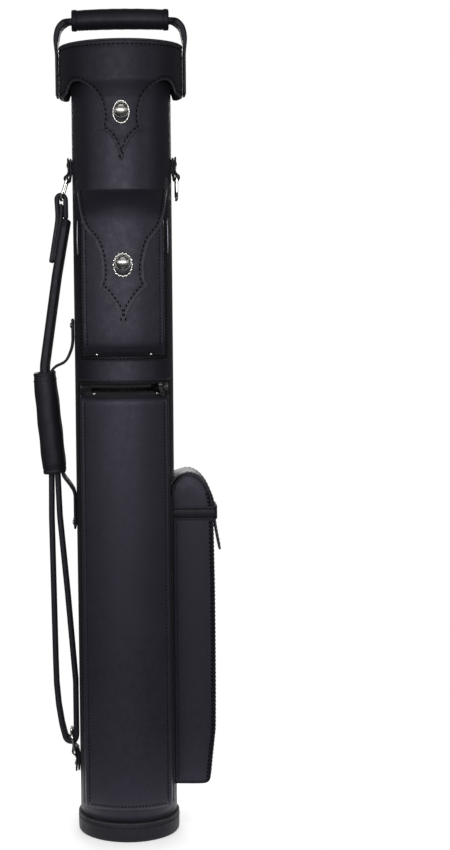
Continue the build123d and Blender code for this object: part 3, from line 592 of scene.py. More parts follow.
def strap(name, path, width, thick, edge_thick=None, crown=4.0, rows=True, pinch=0.0):
    """A strap that runs in the XZ plane with its width along Y, with a stitch row near each edge."""
    path = np.array(path, float)
    normal = left_of(path)
    section = strap_section(width, thick, edge_thick or thick, crown)
    rings, marks = [], []
    for k, (at, out) in enumerate(zip(path, normal)):
        close = min(k, len(path) - 1 - k)
        squeeze = 1.0 if close else STRAP_END_SQUEEZE
        narrow = 1.0 - pinch * math.exp(-((close / 3.0) ** 2))
        ring = []
        for a, h in section:
            spot = at + out * h * squeeze
            ring.append((spot[0], a * narrow, spot[1]))
            marks.append(wear(width / 2 - abs(a)) if close else 1.0)
        rings.append(ring)
    made = piece(name, *skin_rings(rings, capped=True), STRAP, "case", edge=marks)
    if rows:
        thread_rows = []
        level = next(h for a, h in section if a == width / 2 - STITCH_INSET)
        for side in (-1, 1):
            for face in (-1, 1):
                y = side * (width / 2 - STITCH_INSET)
                surface = path + normal * face * level
                points = [(x, y, z) for x, z in surface]
                normals = [(n[0] * face, 0, n[1] * face) for n in normal]
                thread_rows.append((points[1:-1], normals[1:-1]))
        stitches(f"{name}_stitches", thread_rows, "case", STRAP_PITCH, STRAP_PITCH * 0.72, 0.8, 0.5)
    return made


def dress(node, skin, bevel):
    """Gives a CAD node a detailed material, and softens its edges by a bevel in millimetres."""
    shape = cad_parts[node]
    shape.data.materials.clear()
    shape.data.materials.append(skin)
    for face in shape.data.polygons:
        face.material_index = 0
    if bevel:
        soft = shape.modifiers.new("soft_edges", "BEVEL")
        soft.width = bevel * MM
        soft.segments = 2
        soft.limit_method = "ANGLE"


# ------------------------------------------------------------------ camera

camera = bpy.data.objects.new("camera", bpy.data.cameras.new("camera"))
bpy.context.scene.collection.objects.link(camera)
CAMERA_AT = (0, -1.75, 0.583)
TILT_DOWN, ROLL = math.radians(4.5), math.radians(-0.67)
camera.matrix_world = (
    Matrix.Translation(CAMERA_AT)
    @ Euler((math.radians(90) - TILT_DOWN, 0, 0)).to_matrix().to_4x4()
    @ Matrix.Rotation(ROLL, 4, "Z")
)
camera.data.lens = 68.6
camera.data.shift_x = 0.118
camera.data.clip_end = 20
bpy.context.scene.camera = camera


# ------------------------------------------------------------------ tube, base cap and spine


def make_tube():
    outside = [(TUBE_R, z) for z in np.linspace(21, TUBE_TOP, 60)]
    inside = [(TUBE_R - 1.8, TUBE_TOP), (TUBE_R - 1.8, 21)]
    wrap = turned("tube_leather", outside + inside, BODY, "case", wobble=0.07)
    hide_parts("leather_wrap")

    lip = []
    for k in range(13):
        spin = math.pi * k / 12
        lip.append((50.4 + 2.9 * math.cos(spin), 836.2 + 1.9 * math.sin(spin)))
    bound = lip + [(47.6, 835.4), (47.6, 834.05), (53.3, 834.05), (53.3, 835.4)]
    binding = turned("mouth_edge", bound, TRIM, "case", edge=[0.6] * 13 + [0.0] * 4)
    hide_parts("mouth_binding")
    stitches("mouth_stitches", [full_row(50.4, 838.0, 300, up=True)], "case", 3.6, 2.6)


def make_base():
    profile = [
        (20, 0.0), (45, 0.0), (52.6, 0.05), (54.2, 0.7), (55.1, 2.0), (55.4, 4.0), (55.5, 8),
        (55.45, 14), (55.5, 18.2), (55.1, 18.9), (55.45, 19.6), (55.4, 20.7), (55.0, 21.35),
        (54.2, 21.5), (53.2, 21.4), (53.15, 3.0), (20, 3.0),
    ]
    marks = [0.25] * 4 + [0.1] * 6 + [0.5, 0.9, 1.0, 1.0, 0.8, 0, 0]
    cap = turned("base_boot", profile, TRIM, "case", edge=marks)
    disc = turned("base_sole", [(0.5, 0.0), (20, 0.0), (20, 3.0), (0.5, 3.0)], TRIM, "case")
    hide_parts("base_cap")
    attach(disc, "case")
    stitches("base_stitches", [full_row(55.45, 16.0, 300)], "case", 3.8, 2.8)
    joint = strip_outline(17, 3.2, 21.4)
    strip = panel("base_joint", joint, back_of_tube(55.4), 1.4, TRIM, "case", groove=0)
    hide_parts("base_cap_strip")
    rows = [rear_row(57.0, side * 5.2, 4.5, 20.5) for side in (-1, 1)]
    stitches("base_joint_stitches", rows, "case", 3.6, 2.6)


def strip_outline(width, low, high, step=1.6):
    """A rectangle about the axis, evenly divided."""
    half = width / 2
    corners = [(-half, low), (half, low), (half, high), (-half, high), (-half, low)]
    out = []
    for a, b in zip(corners, corners[1:]):
        parts = max(2, int(math.dist(a, b) / step))
        out += [(a[0] + (b[0] - a[0]) * k / parts, a[1] + (b[1] - a[1]) * k / parts) for k in range(parts)]
    return out


def back_of_tube(radius):
    """Places a panel on the rear of an upright cylinder."""

    def place(u, v, lift):
        spin, r = u / radius, radius + lift
        return np.column_stack([r * np.sin(spin), r * np.cos(spin), v])

    return place


def rear_row(radius, u, low, high):
    heights = np.linspace(low, high, max(4, int((high - low) / 3)))
    out = np.array([math.sin(u / radius), math.cos(u / radius), 0])
    return [out * radius + np.array([0, 0, h]) for h in heights], [out] * len(heights)


def make_spine():
    outline = strip_outline(27, 22.2, 731, 2.4)
    strip = panel("spine", outline, back_of_tube(TUBE_R), 1.5, TRIM, "case", spacing=4.5, groove=4.5)
    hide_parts("spine_strip")
    rows = [rear_row(TUBE_R + 1.35, side * 9.0, 25, 728) for side in (-1, 1)]
    stitches("spine_stitches", rows, "case", 3.5, 2.5)


# ------------------------------------------------------------------ lid


def tab_edge():
    """One side of a spade tab, from the arch's peak down to the tip: (x, height)."""
    upper = [
        (48.0, LID_EDGE), (43.5, 806.9), (37.0, 803.0), (31.0, 797.6), (25.6, 789.5), (22.4, 780.5),
    ]
    upper = spline(upper + [(20.9, 772.0)])
    flare = spline([(20.9, 772.0), (21.3, 766.0), (22.6, 760.6), (25.0, 757.0)])
    point = spline([(25.0, 757.0), (17.6, 753.6), (11.2, 748.0), (5.4, 738.5), (0.7, 725.5)])
    return np.vstack([upper, flare[1:], point[1:]])


def lid_edge_run():
    """The lid's lower edge, front half and rear half, each left to right: (angle in radians, height)."""
    side = [(LID_R, 794.3), (60.5, 794.6), (57.6, 796.4), (56.6, 800.0), (54.4, 804.4), (51.4, 807.2)]
    half = np.vstack([spline(side + [(48.0, LID_EDGE)]), tab_edge()[1:]])
    spins = np.arcsin(np.clip(half[:, 0] / LID_R, -1, 1))
    quarter = np.column_stack([spins, half[:, 1]])
    mirrored = np.column_stack([-quarter[:, 0], quarter[:, 1]])
    front = np.vstack([mirrored, quarter[::-1]])
    rear = np.column_stack([math.pi + front[:, 0], front[:, 1]])
    return front, rear


def lid_radius(spin, height):
    """Radius of the back of the lid's leather: straight at the sides, drawn in to the tube on both tabs."""
    x = np.abs(LID_R * np.sin(spin))
    front = np.cos(spin) > 0
    heights = [700, 725, 745, 752, 760, 772, 788, 797, 804, 808, 860]
    front_radii = [54.6, 54.8, 55.6, 56.6, 57.3, 57.5, 58.0, 60.2, 62.4, 63.55, 63.6]
    rear_radii = [53.2, 53.4, 53.5, 53.6, 53.7, 54.4, 58.0, 60.5, 62.6, 63.55, 63.6]
    drawn = [np.interp(height, heights, radii) for radii in (front_radii, rear_radii)]
    drawn = np.where(front, *drawn)
    inner = 1 - smooth_step(x, 41.0, 50.0)
    return LID_BACK * (1 - inner) + drawn * inner


def place_lid(u, v, lift):
    spin = u / LID_R
    r = lid_radius(spin, v) + lift
    return np.column_stack([r * np.sin(spin), -r * np.cos(spin), v])


def hinge_blend(made):
    """Unparents the piece and bakes its world transform into its mesh."""
    made.parent = None
    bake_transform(made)


def make_lid():
    front, rear = lid_edge_run()
    lower = np.vstack([front, rear[1:]])
    lower = np.column_stack([lower[:, 0] * LID_R, lower[:, 1]])
    left, right = lower[0, 0], lower[-1, 0]
    climb = [(right, z) for z in np.linspace(lower[-1, 1], LID_WALL_TOP, 22)[1:]]
    top = [(u, LID_WALL_TOP) for u in np.linspace(right, left, 200)[1:]]
    down = [(left, z) for z in np.linspace(LID_WALL_TOP, lower[0, 1], 22)[1:-1]]
    outline = resample_closed(np.vstack([lower, climb, top, down]), 1.5)

    def seam(p):
        return (np.abs(p[:, 0] - left) < 1e-3) | (np.abs(p[:, 0] - right) < 1e-3)

    cover = panel("lid_leather", outline, place_lid, 2.0, LID, None, groove=3.7, seam=seam, merge=0.05)
    hinge_blend(cover)
    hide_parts("lid_cover", "lid_front_tab", "lid_rear_tab")

    rows = []
    for run in (front, rear):
        flat = np.column_stack([run[:, 0] * LID_R, run[:, 1]])
        half = len(flat) // 2
        for part in (flat[: half + 1], flat[half:]):
            moved = inset_path(part, 3.7)
            spot = place_lid(moved[:, 0], moved[:, 1], np.full(len(moved), 1.72))
            spin = moved[:, 0] / LID_R
            out = np.column_stack([np.sin(spin), -np.cos(spin), np.zeros(len(moved))])
            rows.append((spot, out))
    sewn = stitches("lid_edge_stitches", rows, None, 5.2, 4.0, 1.6, 0.85)
    hinge_blend(sewn)

    rim = [
        (30, 846.2), (60, 846.2), (65.2, 846.15), (65.9, 846.5), (66.05, 847.1), (65.8, 847.8),
        (65.2, 848.2), (64.2, 848.35), (63.4, 848.15), (62.4, 848.05), (60.6, 847.8), (59.0, 848.0),
        (56, 848.1), (30, 848.3),
    ]
    marks = [0, 0, 0.3, 0.9, 1.0, 0.9, 0.6, 0.3] + [0.0] * 6
    disc = turned("lid_top", rim, LID, "lid", edge=marks)
    middle = turned("lid_top_middle", [(0.5, 846.2), (30, 846.2), (30, 848.3), (0.5, 848.35)], LID, "lid")
    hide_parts("lid_top_disc")
    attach(middle, "lid")
    rows = [full_row(65.55, 842.6, 400), full_row(60.6, 848.0, 400, up=True)]
    stitches("lid_welt_stitches", rows, "lid", 4.8, 3.7, 1.3, 0.75)

    inner = [
        (60.9, 808.1), (60.9, 842.8), (10, 842.8), (10, 841.6), (57, 841.6), (59.2, 840.6),
        (60.0, 838.2), (60.0, 808.1),
    ]
    lining = turned("lid_felt", inner, FELT, "lid", "felt")
    core = [(10, 842.8), (0.5, 842.8), (0.5, 841.5), (10, 841.6)]
    core = turned("lid_felt_middle", core, FELT, "lid", "felt")
    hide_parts("lid_lining")
    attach(core, "lid")
    heads = []
    for x, z in ((-10.3, 762), (10.3, 762), (0, 745)):
        base = math.sqrt(56.4**2 - x**2)
        heads.append(dome((x, base - 0.6, z), (0, 1, 0), 4.3, 1.9))
    rivets = piece("rear_rivets", *join_meshes(heads), NICKEL, "case", "nickel")
    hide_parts("rear_tab_rivets")


def resample_closed(points, step):
    """Divides each side of a closed outline evenly."""
    out = []
    for a, b in zip(points, np.roll(points, -1, axis=0)):
        parts = max(1, int(round(math.dist(a, b) / step)))
        for k in range(parts):
            out.append(a + (b - a) * k / parts)
    return np.array(out)


def dome(at, axis, radius, rise, rim=0.5, sides=28):
    """A round head with a small rim, standing on a surface."""
    axis = Vector(axis).normalized()
    turn = axis.to_track_quat("Z", "Y").to_matrix()
    profile = [(radius, 0.0), (radius, rim * 0.6), (radius * 0.95, rim)]
    for k in range(1, 8):
        spin = math.pi / 2 * k / 8
        profile.append((radius * 0.95 * math.cos(spin), rim + (rise - rim) * math.sin(spin)))
    rings = []
    for r, h in profile:
        ring = []
        for spin in turns(sides):
            spot = turn @ Vector((r * math.cos(spin), r * math.sin(spin), h))
            ring.append(tuple(np.array(at) + np.array(spot)))
        rings.append(ring)
    return skin_rings(rings, capped=True)


# ------------------------------------------------------------------ locks


def oval_rings(profile, at, wide, tall, scallops=0, sides=96):
    """Rings of an oval plate facing -Y. A profile point is (share of half size, depth, scallop share)."""
    rings = []
    for share, depth, wavy in profile:
        ring = []
        for spin in turns(sides):
            ripple = wavy * math.cos(scallops * spin) if scallops else 0
            x = at[0] + wide / 2 * share * (1 + 0.055 * ripple) * math.cos(spin)
            z = at[2] + tall / 2 * share * (1 + 0.055 * ripple) * math.sin(spin)
            ring.append((x, at[1] - depth - 0.25 * ripple, z))
        rings.append(ring)
    return rings


def circle_rings(profile, at, sides=96):
    """Rings of a round piece facing -Y. Each profile point is (radius, depth)."""
    rings = []
    for radius, depth in profile:
        ring = [(radius * math.cos(s), radius * math.sin(s)) for s in turns(sides)]
        rings.append([(at[0] + x, at[1] - depth, at[2] + z) for x, z in ring])
    return rings


def make_lock(prefix, size, back, z, body, button_body, scallops):
    """An oval plate with a raised rim, a recess coloured black as painted shade, and a domed button above
    its centre.
    """
    at, button_at = (0, -back, z), (0, -back, z + 2.7)
    profile = [
        (0.90, 0.0, 0), (0.99, 0.1, 1), (1.0, 0.7, 1), (0.965, 1.4, 1), (0.91, 1.85, 0.9),
        (0.86, 1.75, 0.5), (0.80, 1.3, 0.2), (0.78, 0.7, 0),
    ]
    rim = skin_rings(oval_rings(profile, at, *size, scallops))
    rim = piece(f"{prefix}_plate_rim", *rim, NICKEL, body, "nickel")
    soft = rim.modifiers.new("round", "SUBSURF")
    soft.levels = soft.render_levels = 1
    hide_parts(f"{prefix}_lock_plate")
    # The recess is a sheet of black metal standing for the shade round the button: painted shade.
    painted_shade_rings = oval_rings([(0.83, 0.6, 0), (0.80, 0.75, 0)], at, *size)
    painted_shade_rings += circle_rings([(7.3, 0.75), (7.0, 0.65), (7.0, 0.1)], button_at)
    piece(f"{prefix}_plate_painted_shade", *skin_rings(painted_shade_rings), BLACK_METAL_AND_PAINTED_SHADE, body, "nickel")
    bezel = [(8.5, 0.7), (8.45, 1.3), (8.1, 1.6), (7.7, 1.55), (7.5, 1.2), (7.45, 0.7)]
    bezel = skin_rings(circle_rings(bezel, button_at))
    piece(f"{prefix}_plate_bezel", *bezel, GUNMETAL, body, "nickel")
    knob = [(6.5, 1.75), (6.85, 2.3), (6.85, 2.9), (6.5, 3.4)]
    for k in range(1, 9):
        spin = math.pi / 2 * k / 9
        knob.append((6.5 * math.cos(spin), 3.4 + 2.6 * math.sin(spin)))
    knob.append((0.4, 6.0))
    knob_mesh = skin_rings(circle_rings(knob, button_at), capped=True)
    button = piece(f"{prefix}_button_face", *knob_mesh, BUTTON, button_body, "nickel")
    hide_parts(f"{prefix}_lock_button")


# ------------------------------------------------------------------ front pockets


def pocket_ring(front, half, corner, flange, bulge):
    """Plan of a front pocket from its left flange to its right, as 2-D points about the tube's axis."""
    outer = half + flange
    flat_r = TUBE_R + 1.9
    points = []
    for k in range(7):
        x = outer - flange * k / 7
        r = flat_r if k else TUBE_R + 0.8
        points.append((x, -math.sqrt(max(r * r - x * x, 1.0))))
    foot_y = -math.sqrt(max(flat_r**2 - half**2, 1.0))
    reach = math.sqrt(max(front**2 - half**2, 1.0)) - corner * 0.55
    wall_top = -max(reach, -foot_y + 0.4)
    for k in range(7):
        share = k / 6
        y = foot_y - 0.8 + (wall_top - foot_y + 0.8) * share
        points.append((half + bulge * math.sin(math.pi * share), y))
    edge_x = half - corner * 0.45
    edge_y = -math.sqrt(max(front**2 - edge_x**2, 1.0))
    a, b = np.array((half, wall_top)), np.array((edge_x, edge_y))
    elbow = np.array((half + 0.1, edge_y - 0.1))
    for k in range(1, 7):
        t = k / 7
        points.append(tuple((1 - t) ** 2 * a + 2 * t * (1 - t) * elbow + t * t * b))
    start = math.asin(min(1.0, edge_x / front))
    for k in range(16):
        spin = start * (1 - k / 16)
        points.append((front * math.sin(spin), -front * math.cos(spin)))
    points.append((0.0, -front))
    left = [(-x, y) for x, y in reversed(points[:-1])]
    return points + left


def pocket_shell(name, levels):
    """A pocket's leather. A level is (height, front radius, half width, corner, flange, bulge)."""
    rings = [[(x, y, z) for x, y in pocket_ring(*plan)] for z, *plan in levels]
    made = piece(name, *skin_rings(rings, closed=False), BODY, "case")
    thicken(made, 1.9)
    return made


def front_row(radius, x, low, high):
    """An upright stitch row on a front panel of some radius at a given x."""
    heights = np.linspace(low, high, max(4, int(abs(high - low) / 3.0)))
    return cylinder_row(radius, [math.asin(x / radius)] * len(heights), heights)


def cross_row(radius, half, height):
    """A level stitch row across a front panel."""
    reach = math.asin(half / radius)
    return cylinder_row(radius, np.linspace(-reach, reach, 60), [height] * 60)


def flange_frame(name, half, low, high, thick):
    """A flat border of leather sewn on the tube behind a pocket, half its chord wide."""

    def place(u, v, lift):
        spin, r = u / TUBE_R, TUBE_R + 0.1 + lift
        return np.column_stack([r * np.sin(spin), -r * np.cos(spin), v])

    arc = TUBE_R * math.asin(half / TUBE_R)
    panel(name, strip_outline(2 * arc, low, high, 2.0), place, thick, TRIM, "case", spacing=6.0, groove=0)


def make_upper_pocket():
    half = 42.6
    foot = [
        (521.5, 57.2), (522.6, 60.0), (524.4, 63.4), (526.8, 66.4), (529.4, 68.6), (532.5, 69.8),
        (537, 70.3),
    ]
    levels = [(z, front, half - 0.4, 5.0, 3.2, 0.2) for z, front in foot]
    for z in np.linspace(545, 663, 18):
        full = math.sin(math.pi * min(1, (z - 520) / 150)) * 0.8
        levels.append((z, 70.2 + full, half, 5.5, 3.2, 0.5))
    pocket = pocket_shell("upper_pocket", levels)
    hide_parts("upper_pocket_body")
    flange_frame("upper_pocket_border", 46.0, 516.4, 663, 1.6)
    rows = [front_row(TUBE_R + 2.0, side * 44.6, 519, 661) for side in (-1, 1)]
    rows.append(cross_row(TUBE_R + 1.9, 43.5, 518.4))
    rows += [front_row(70.9, side * 38.2, 533, 661) for side in (-1, 1)]
    stitches("upper_pocket_stitches", rows, "case", 3.7, 2.7, 1.1, 0.65)
    folds = []
    for side in (-1, 1):
        path = [(47.0, -28.6, 665.0), (47.5, -28.9, 655.0), (47.6, -28.9, 640.0), (47.2, -28.4, 628.0)]
        folds.append(tube_mesh(spline([(side * x, y, z) for x, y, z in path], 1.5), 1.5))
    piece("upper_pocket_gusset_folds", *join_meshes(folds), GLOSS, "case")

    heads = []
    for side in (-1, 1):
        low_angle = 28.5 if side < 0 else 31.5
        for degrees, radius, z, lean, drop, size, rise in (
            (27, 62.6, 523.4, 0.6, -0.8, 1.9, 1.1),
            (low_angle, 66.6, 483.3, 0.63, 0.77, 2.2, 1.2),
        ):
            spot, out = around(radius, math.radians(degrees) * side, z)
            heads.append(dome(spot, (out[0] * lean, out[1] * lean, drop), size, rise, 0.3, 18))
    rivets = piece("pocket_rivets", *join_meshes(heads), NICKEL, "case", "nickel")
    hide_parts("pocket_corner_rivets")


FLAP_TOP = 695.5


def flap_edge():
    """One side of the upper pocket's flap from its sewn top to its tip: (x, height)."""
    side = [(47.8, FLAP_TOP), (46.9, 690.5), (44.6, 676.0), (41.6, 662.0), (38.2, 654.5), (33.0, 648.0)]
    side = spline(side + [(27.6, 641.0)])
    neck = spline([(27.6, 641.0), (24.0, 630.0), (21.7, 618.0), (21.5, 607.0)])
    flare = spline([(21.5, 607.0), (22.2, 601.5), (25.6, 595.0)])
    point = spline([(25.6, 595.0), (18.2, 588.8), (11.0, 579.6), (5.4, 570.0), (0.7, 557.0)])
    return np.vstack([side, neck[1:], flare[1:], point[1:]])


def flap_back(height):
    """Radius of the back of the flap's leather at a height."""
    heights = [540, 600, 650, 658, 664, 669, 674, 678, 682, 686, 690, 693, 696]
    radii = [71.4, 71.4, 71.4, 71.1, 70.6, 69.7, 68.0, 65.9, 63.2, 60.1, 56.9, 54.7, 53.2]
    return np.interp(height, heights, radii)


def place_flap(u, v, lift):
    r = flap_back(v) + lift * (1 - 0.85 * smooth_step(v, 685, FLAP_TOP))
    spin = np.arcsin(np.clip(u / r, -0.97, 0.97))
    return np.column_stack([r * np.sin(spin), -r * np.cos(spin), v])


def flap_blend(made):
    made.parent = None
    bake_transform(made)


def make_flap():
    right = flap_edge()
    left = np.column_stack([-right[:, 0], right[:, 1]])
    top = [(x, FLAP_TOP) for x in np.linspace(-47.8, 47.8, 60)[1:-1]]
    outline = resample_closed(np.vstack([right, left[::-1], top]), 1.4)

    def seam(p):
        return p[:, 1] > FLAP_TOP - 0.1

    look = {"groove": 4.0, "spacing": 2.6, "seam": seam}
    flap = panel("upper_pocket_flap_leather", outline, place_flap, 2.5, FLAP, None, **look)
    flap_blend(flap)
    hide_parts("upper_pocket_flap", "upper_pocket_flap_root")
    rows = []
    for run, inset in ((right, -4.0), (left, 4.0)):
        moved = inset_path(run, inset)
        spot = place_flap(moved[:, 0], moved[:, 1], np.full(len(moved), 2.25))
        out = spot * np.array([1, 1, 0])
        out /= np.linalg.norm(out, axis=1)[:, None]
        out[:, 2] = smooth_step(moved[:, 1], 670, 688) * 0.9
        rows.append((spot, out))
    sewn = stitches("flap_stitches", rows, None, 4.9, 3.8, 1.65, 0.85)
    flap_blend(sewn)


def make_lower_pocket():
    half = 46.3
    levels = [
        (38.2, 57.5, half - 1.2, 5.0, 1.8, 0), (38.4, 62.0, half - 0.8, 6.0, 1.8, 0),
        (39.2, 66.5, half - 0.4, 6.0, 1.8, 0), (40.8, 69.6, half, 6.5, 1.8, 0.1),
        (43.5, 71.4, half, 6.5, 1.8, 0.2),
    ]
    for z in np.linspace(50, 470, 44):
        full = 0.7 * math.sin(math.pi * (z - 43) / 430)
        levels.append((z, 72.0 + full, half, 6.5, 1.8, 0.5))
    levels += [(473.5, 72.1, half, 6.5, 1.8, 0.4), (476.2, 71.6, half, 6.4, 1.8, 0.4)]
    levels += [(478.4, 70.6, half, 6.3, 1.8, 0.3), (479.8, 69.2, half, 6.0, 1.8, 0.3)]
    pocket = pocket_shell("lower_pocket", levels)
    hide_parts("lower_pocket_body")
    make_top_band(half)
    flange_frame("lower_pocket_border", 48.0, 35.4, 496.6, 1.5)
    rows = [front_row(72.6, side * 42.0, 46, 474) for side in (-1, 1)]
    rows.append(cross_row(72.3, 40.5, 45.0))
    rows.append(cross_row(TUBE_R + 1.75, 44.5, 494.6))
    stitches("lower_pocket_stitches", rows, "case", 3.7, 2.7, 1.1, 0.65)


def make_top_band(half):
    """The lower pocket's sloping top: two leather strips with the zip between them."""
    back, top = 53.1, 493.5
    run, fall = 72.0 - back, top - 478.0
    slant = math.hypot(run, fall)
    nr, nz = fall / slant, run / slant

    def on_slope(r, spin, lift):
        out = r + nr * lift
        return out * math.sin(spin), -out * math.cos(spin), top - fall * (r - back) / run + nz * lift

    def wall_angle(r):
        return math.asin(min(0.995, (half - 0.4) / r))

    inner = [(53.4, 0.9), (55.0, 0.7), (57.0, 0.75), (59.6, 0.9), (60.4, 1.0), (60.8, 0.5)]
    outer = [(64.2, 0.5), (64.6, 1.0), (65.6, 1.0), (67.4, 0.8), (68.6, 0.7), (69.6, 0.2), (70.2, -0.8)]
    for name, profile in (("lower_pocket_top_inner", inner), ("lower_pocket_top_outer", outer)):
        rings = []
        for r, lift in profile:
            reach = wall_angle(r)
            rings.append([on_slope(r, spin, lift) for spin in np.linspace(-reach, reach, 50)])
        thicken(piece(name, *skin_rings(rings, closed=False), TRIM, "case"), 1.4)
    gussets = []
    for side in (-1, 1):
        rings = []
        for r in np.linspace(58.8, 66.2, 5):
            ring = [on_slope(r, spin, 0.75) for spin in np.linspace(math.radians(35.5), wall_angle(r), 8)]
            rings.append([(side * x, y, z) for x, y, z in ring])
        gussets.append(skin_rings(rings, closed=False))
    thicken(piece("lower_pocket_top_ends", *join_meshes(gussets), TRIM, "case"), 1.4, 0)
    rows = []
    for r in (56.8, 66.8):
        reach = math.asin((half - 3) / r)
        spins = np.linspace(-reach, reach, 80)
        normals = [(nr * math.sin(s), -nr * math.cos(s), nz) for s in spins]
        rows.append(([on_slope(r, s, 0.85) for s in spins], normals))
    stitches("zip_stitches", rows, "case", 3.2, 2.3, 0.65, 0.45)


# ------------------------------------------------------------------ side pocket

ARCH_Z = 374.0
SIDE_Y, SIDE_HALF = 4.5, 25.5
GUSSET_FOOT = 56.5


def side_profile():
    """The side pocket's outer edge in XZ, from the foot on the tube round the face and over the arch."""
    toe = [(50.0, 55.4), (70.0, 55.0), (81.6, 55.1), (85.4, 55.9), (87.6, 58.2), (88.6, 62.0)]
    face = [
        (90.8, 84.0), (93.2, 106.0), (94.3, 122.0), (94.7, 190.0), (94.5, 262.0), (94.0, 300.0),
        (93.3, 342.0),
    ]
    arch = [
        (92.4, 360.0), (90.6, 369.5), (86.2, 379.3), (79.8, 387.4), (72.4, 392.0), (65.0, 392.4),
        (58.4, 388.4), (52.6, 382.0), (49.6, ARCH_Z),
    ]
    return resample(spline(toe + face + arch, 3.0), 2.6)


def make_side_pocket():
    edge = side_profile()
    first = int(np.argmax(edge[:, 1] > ARCH_Z))
    edge[first - 1, 1] = ARCH_Z
    peak = int(np.argmax(edge[:, 1]))
    out = -left_of(edge)
    outer, inward = edge[first - 1 : peak + 1], edge[peak:][::-1]
    for name, side, root in (("side_pocket_front_gusset", -1, 49.0), ("side_pocket_rear_gusset", 1, 44.0)):
        spans = []
        for at, away in zip(edge[:first], out[:first]):
            spans.append((np.array([root, max(at[1], GUSSET_FOOT)]), at - away * 0.6))
        for climb in np.sin(np.linspace(0.04, math.pi / 2, 22)):
            z = ARCH_Z + (edge[peak, 1] - ARCH_Z) * climb
            left, right = np.interp(z, inward[:, 1], inward[:, 0]), np.interp(z, outer[:, 1], outer[:, 0])
            spans.append((np.array([left + 0.5, z]), np.array([max(right - 0.5, left + 0.6), z])))
        rings = []
        for inner, rim_end in spans:
            ring = []
            for share in np.linspace(0.0, 1.0, 14):
                spot = inner + (rim_end - inner) * share
                rim = float(np.min(np.linalg.norm(edge - spot, axis=1)))
                puff = 0.3 + 1.1 * float(smooth_step(min(rim, spot[0] - root + 2.0), 0.4, 13.0))
                ring.append((spot[0], SIDE_Y + side * (SIDE_HALF - 0.9 + puff), spot[1]))
            rings.append(ring)
        thicken(piece(name, *skin_rings(rings, closed=False), BODY, "case", merge=0.02), 1.6)

    below = edge[:first]
    below = below[: np.argmax(below[:, 1]) + 1]
    out = -left_of(below)
    across = np.concatenate([[-1.0, -0.985, -0.955], np.linspace(-0.9, 0.9, 17), [0.955, 0.985, 1.0]])
    rings = []
    for at, away in zip(below, out):
        ring = []
        for a in across:
            lip = 0.9 if 0.95 < abs(a) < 0.99 else (0.2 if abs(a) > 0.99 else 0.25)
            lift = 0.7 * (1 - a * a) + lip - 0.4
            ring.append((at[0] + away[0] * lift, SIDE_Y + a * (SIDE_HALF + 0.4), at[1] + away[1] * lift))
        rings.append(ring)
    marks = [wear((1 - abs(a)) * SIDE_HALF) for _ in below for a in across]
    face = piece("side_pocket_face", *skin_rings(rings, closed=False), BODY, "case", edge=marks)
    thicken(face, 1.7)
    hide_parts("side_pocket_body")

    pipes, rows, welts, root_rows = [], [], [], []
    sewn = [(at, away) for at, away in zip(below, out) if at[1] > 58]
    for side in (-1, 1):
        path = [(x, SIDE_Y + side * (SIDE_HALF + 0.2), z) for x, z in edge if z > 350]
        pipes.append(tube_mesh(path, 1.15))
        path = [(x - 0.1, SIDE_Y + side * (SIDE_HALF + 0.3), z) for x, z in below if z > 54]
        pipes.append(tube_mesh(path, 0.85))
        y = SIDE_Y + side * (SIDE_HALF + 0.15)
        points = [(x - 3.4 * w[0], y, z - 3.4 * w[1]) for (x, z), w in sewn]
        rows.append((points, [(0, side, 0)] * len(sewn)))
        y = SIDE_Y + side * (SIDE_HALF - 3.4)
        points = [(x + w[0] * 0.75, y, z + w[1] * 0.75) for (x, z), w in sewn]
        rows.append((points, [(w[0], 0, w[1]) for _, w in sewn]))
        r = TUBE_R + 0.9
        spin = math.asin((SIDE_Y + side * (SIDE_HALF + 1.6)) / r)
        path = [(r * math.cos(spin), r * math.sin(spin), z) for z in np.linspace(54, 372, 80)]
        welts.append(tube_mesh(path, 1.2))
        points = [(54.6, SIDE_Y + side * (SIDE_HALF + 0.5), z) for z in np.linspace(59, 340, 90)]
        root_rows.append((points, [(0, side, 0)] * 90))
    piece("side_pocket_piping", *join_meshes(pipes), EDGE, "case")
    stitches("side_pocket_stitches", rows, "case", 4.4, 3.5, 1.5, 0.9, 0.35)
    piece("side_pocket_welts", *join_meshes(welts), EDGE, "case")
    stitches("side_pocket_root_stitches", root_rows, "case", 3.4, 2.5, 0.8, 0.55)


def tube_mesh(path, radius, sides=8):
    """A thin round cord of leather along a path."""
    path = np.array(path, float)
    tangent = tangents(path)
    up = np.array([0.0, 1.0, 0.0]) if abs(tangent[0][1]) < 0.9 else np.array([1.0, 0, 0])
    rings = []
    for at, along in zip(path, tangent):
        side = np.cross(along, up)
        side /= np.linalg.norm(side)
        top = np.cross(side, along)
        rings.append([at + radius * (math.cos(s) * side + math.sin(s) * top) for s in turns(sides)])
    return skin_rings(rings, capped=True)


def side_blend(made):
    made.parent = None
    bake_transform(made)


